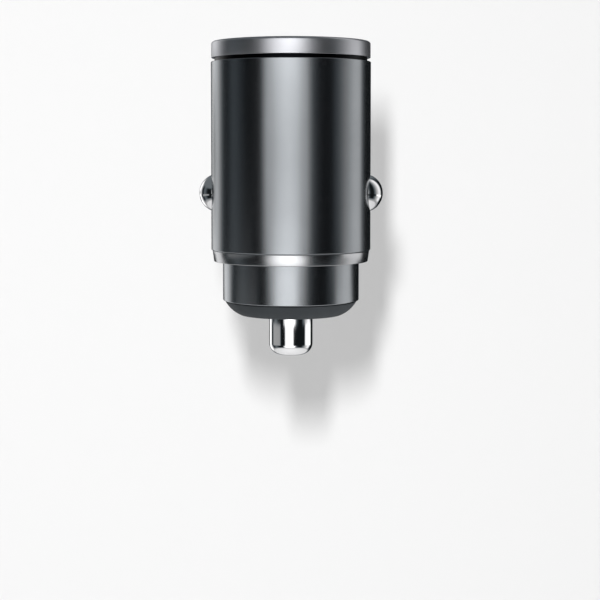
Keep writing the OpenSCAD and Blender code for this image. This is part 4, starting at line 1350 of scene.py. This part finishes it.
def makeTransistors():
    low, high = span("power_transistors")
    size = high.z - low.z
    bodies, leads = [], []
    for side in (-1, 1):
        inner, outer = sorted((side * high.x, side * (high.x - size)))
        bodies.append(block(
            (inner, low.y, low.z + 0.2), (outer, high.y - 0.03, high.z - 0.2), edge=transistor["edge"]))
        for k in range(transistor["leads"]):
            mid = (inner + outer) / 2 + size / 3.2 * (k - 1)
            wide = transistor["leadWidth"] / 2
            for z, out in ((low.z + 0.2, -1), (high.z - 0.2, 1)):
                near, far = sorted((z - out * 0.1, z + out * 0.2))
                leads.append(block(
                    (mid - wide, high.y - transistor["leadThick"], near), (mid + wide, high.y, far),
                    edge=0.03))
    finishPiece("powerTransistors", joined(*bodies), "chip_black", ["power_transistors"])
    finishPiece("transistorLeads", joined(*leads), "port_shell")


small = {
    "count": 4,
    "width": 1.6,
    "height": 0.8,
    "cap": 0.36,
    "shy": 0.03,  # how far a body stays inside its end caps
    "edge": 0.07,
}


def makeSmallParts():
    low, high = span("small_components")
    pitch = (high.z - small["height"] - low.z) / (small["count"] - 1)
    bodies, caps = [], []
    for side in (-1, 1):
        mid = side * (high.x - small["width"] / 2)
        for row in range(small["count"]):
            up, half = low.z + pitch * row, small["width"] / 2
            shy = small["shy"]
            bodies.append(block(
                (mid - half + 0.1, low.y + shy, up + shy),
                (mid + half - 0.1, high.y - shy, up + small["height"] - shy), edge=0.04))
            for end in (-1, 1):
                near, far = sorted((mid + end * half, mid + end * (half - small["cap"])))
                caps.append(block(
                    (near, low.y, up), (far, high.y, up + small["height"]), edge=small["edge"]))
    finishPiece("smallParts", joined(*bodies), "ceramic", ["small_components"])
    finishPiece("smallPartCaps", joined(*caps), "port_shell")


clip = {"thick": 0.25, "foot": 1.6, "bend": 0.3}


def makeGroundClip():
    low, high = span("ground_clip")
    footTop, thick = low.z + clip["foot"], clip["thick"]
    foot = high.y - thick
    path = [(foot, low.z), (foot, footTop), (low.y, footTop), (low.y, high.z)]
    arm = bentStrip(path, high.x * 2, thick, bend=clip["bend"])
    finishPiece("groundClip", arm, "brass_parts", ["ground_clip"])


# Sprung contacts

cup = {"wall": 0.4, "hole": 0.6, "edge": 0.08, "round": 0.35}


def makeCups():
    low, high = span("right_contact_cup")
    radius = (high.z - low.z) / 2
    inner = radius - cup["wall"]
    for side, node in ((-1, "left_contact_cup"), (1, "right_contact_cup")):
        shape = turned([
            (cup["hole"], low.x, cup["edge"]), (radius, low.x, cup["round"]), (radius, high.x, cup["edge"]),
            (inner, high.x, cup["edge"]), (inner, low.x + cup["wall"], cup["edge"]),
            (cup["hole"], low.x + cup["wall"], cup["edge"])], steps=96, segments=4)
        finishPiece(node.split("_")[0] + "ContactCup", onSide(shape, side), "brass_parts", [node])


springs = {"contactWire": 0.3, "contactTurns": 4, "pinWire": 0.45, "pinTurns": 6}


def makeSprings():
    low, high = span("right_contact_spring")
    wire = springs["contactWire"]
    radius, rise = (high.z - low.z - wire) / 2, high.x - low.x - wire
    for side, name in ((-1, "left"), (1, "right")):
        shape = moved(coil(radius, wire, springs["contactTurns"], rise), (0, 0, low.x + wire / 2))
        piece = finishPiece(
            name + "ContactSpring", onSide(shape, side), "spring_steel", [name + "_contact_spring"],
            sharp=60)
        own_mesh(piece)
    low, high = span("pin_spring")
    wire = springs["pinWire"]
    shape = coil(high.x - wire / 2, wire, springs["pinTurns"], high.z - low.z - wire, perTurn=64)
    shape = moved(shape, (0, 0, low.z + wire / 2))
    piece = finishPiece("pinSpring", shape, "spring_steel", ["pin_spring"], sharp=60)
    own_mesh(piece)


terminal = {"thick": 0.4, "edge": 0.08, "tabWidth": 2.4}


def makeTerminal():
    low, high = span("pin_terminal")
    disc = turned([
        (0, low.z), (high.x, low.z, terminal["edge"]),
        (high.x, low.z + terminal["thick"], terminal["edge"]), (0, low.z + terminal["thick"])],
        steps=96, segments=3)
    half = terminal["tabWidth"] / 2
    tab = prism([
        (-half, low.z), (half, low.z), (half, high.z, 0.5), (-half, high.z, 0.5)],
        boardBack - 0.05 - terminal["thick"], boardBack - 0.05, upright=True, edge=0.05)
    finishPiece("pinTerminal", joined(disc, tab), "brass_parts", ["pin_terminal"])


makeBarrel()
makeBezel()
makeNose()
makePin()
print("housing made")
makePlate()
makeUsbAShell()
makeUsbATongue()
makeUsbAContacts()
makeUsbCShell()
makeUsbCTongue()
makeUsbCContacts()
makeStatusLight()
print("ports made")
makeBoard()
makeBoardPads()
makeCapacitor()
makeInductor()
makeChips()
makeTransistors()
makeSmallParts()
makeGroundClip()
print("circuit board made")
makeCups()
makeSprings()
makeTerminal()
print("sprung contacts made")
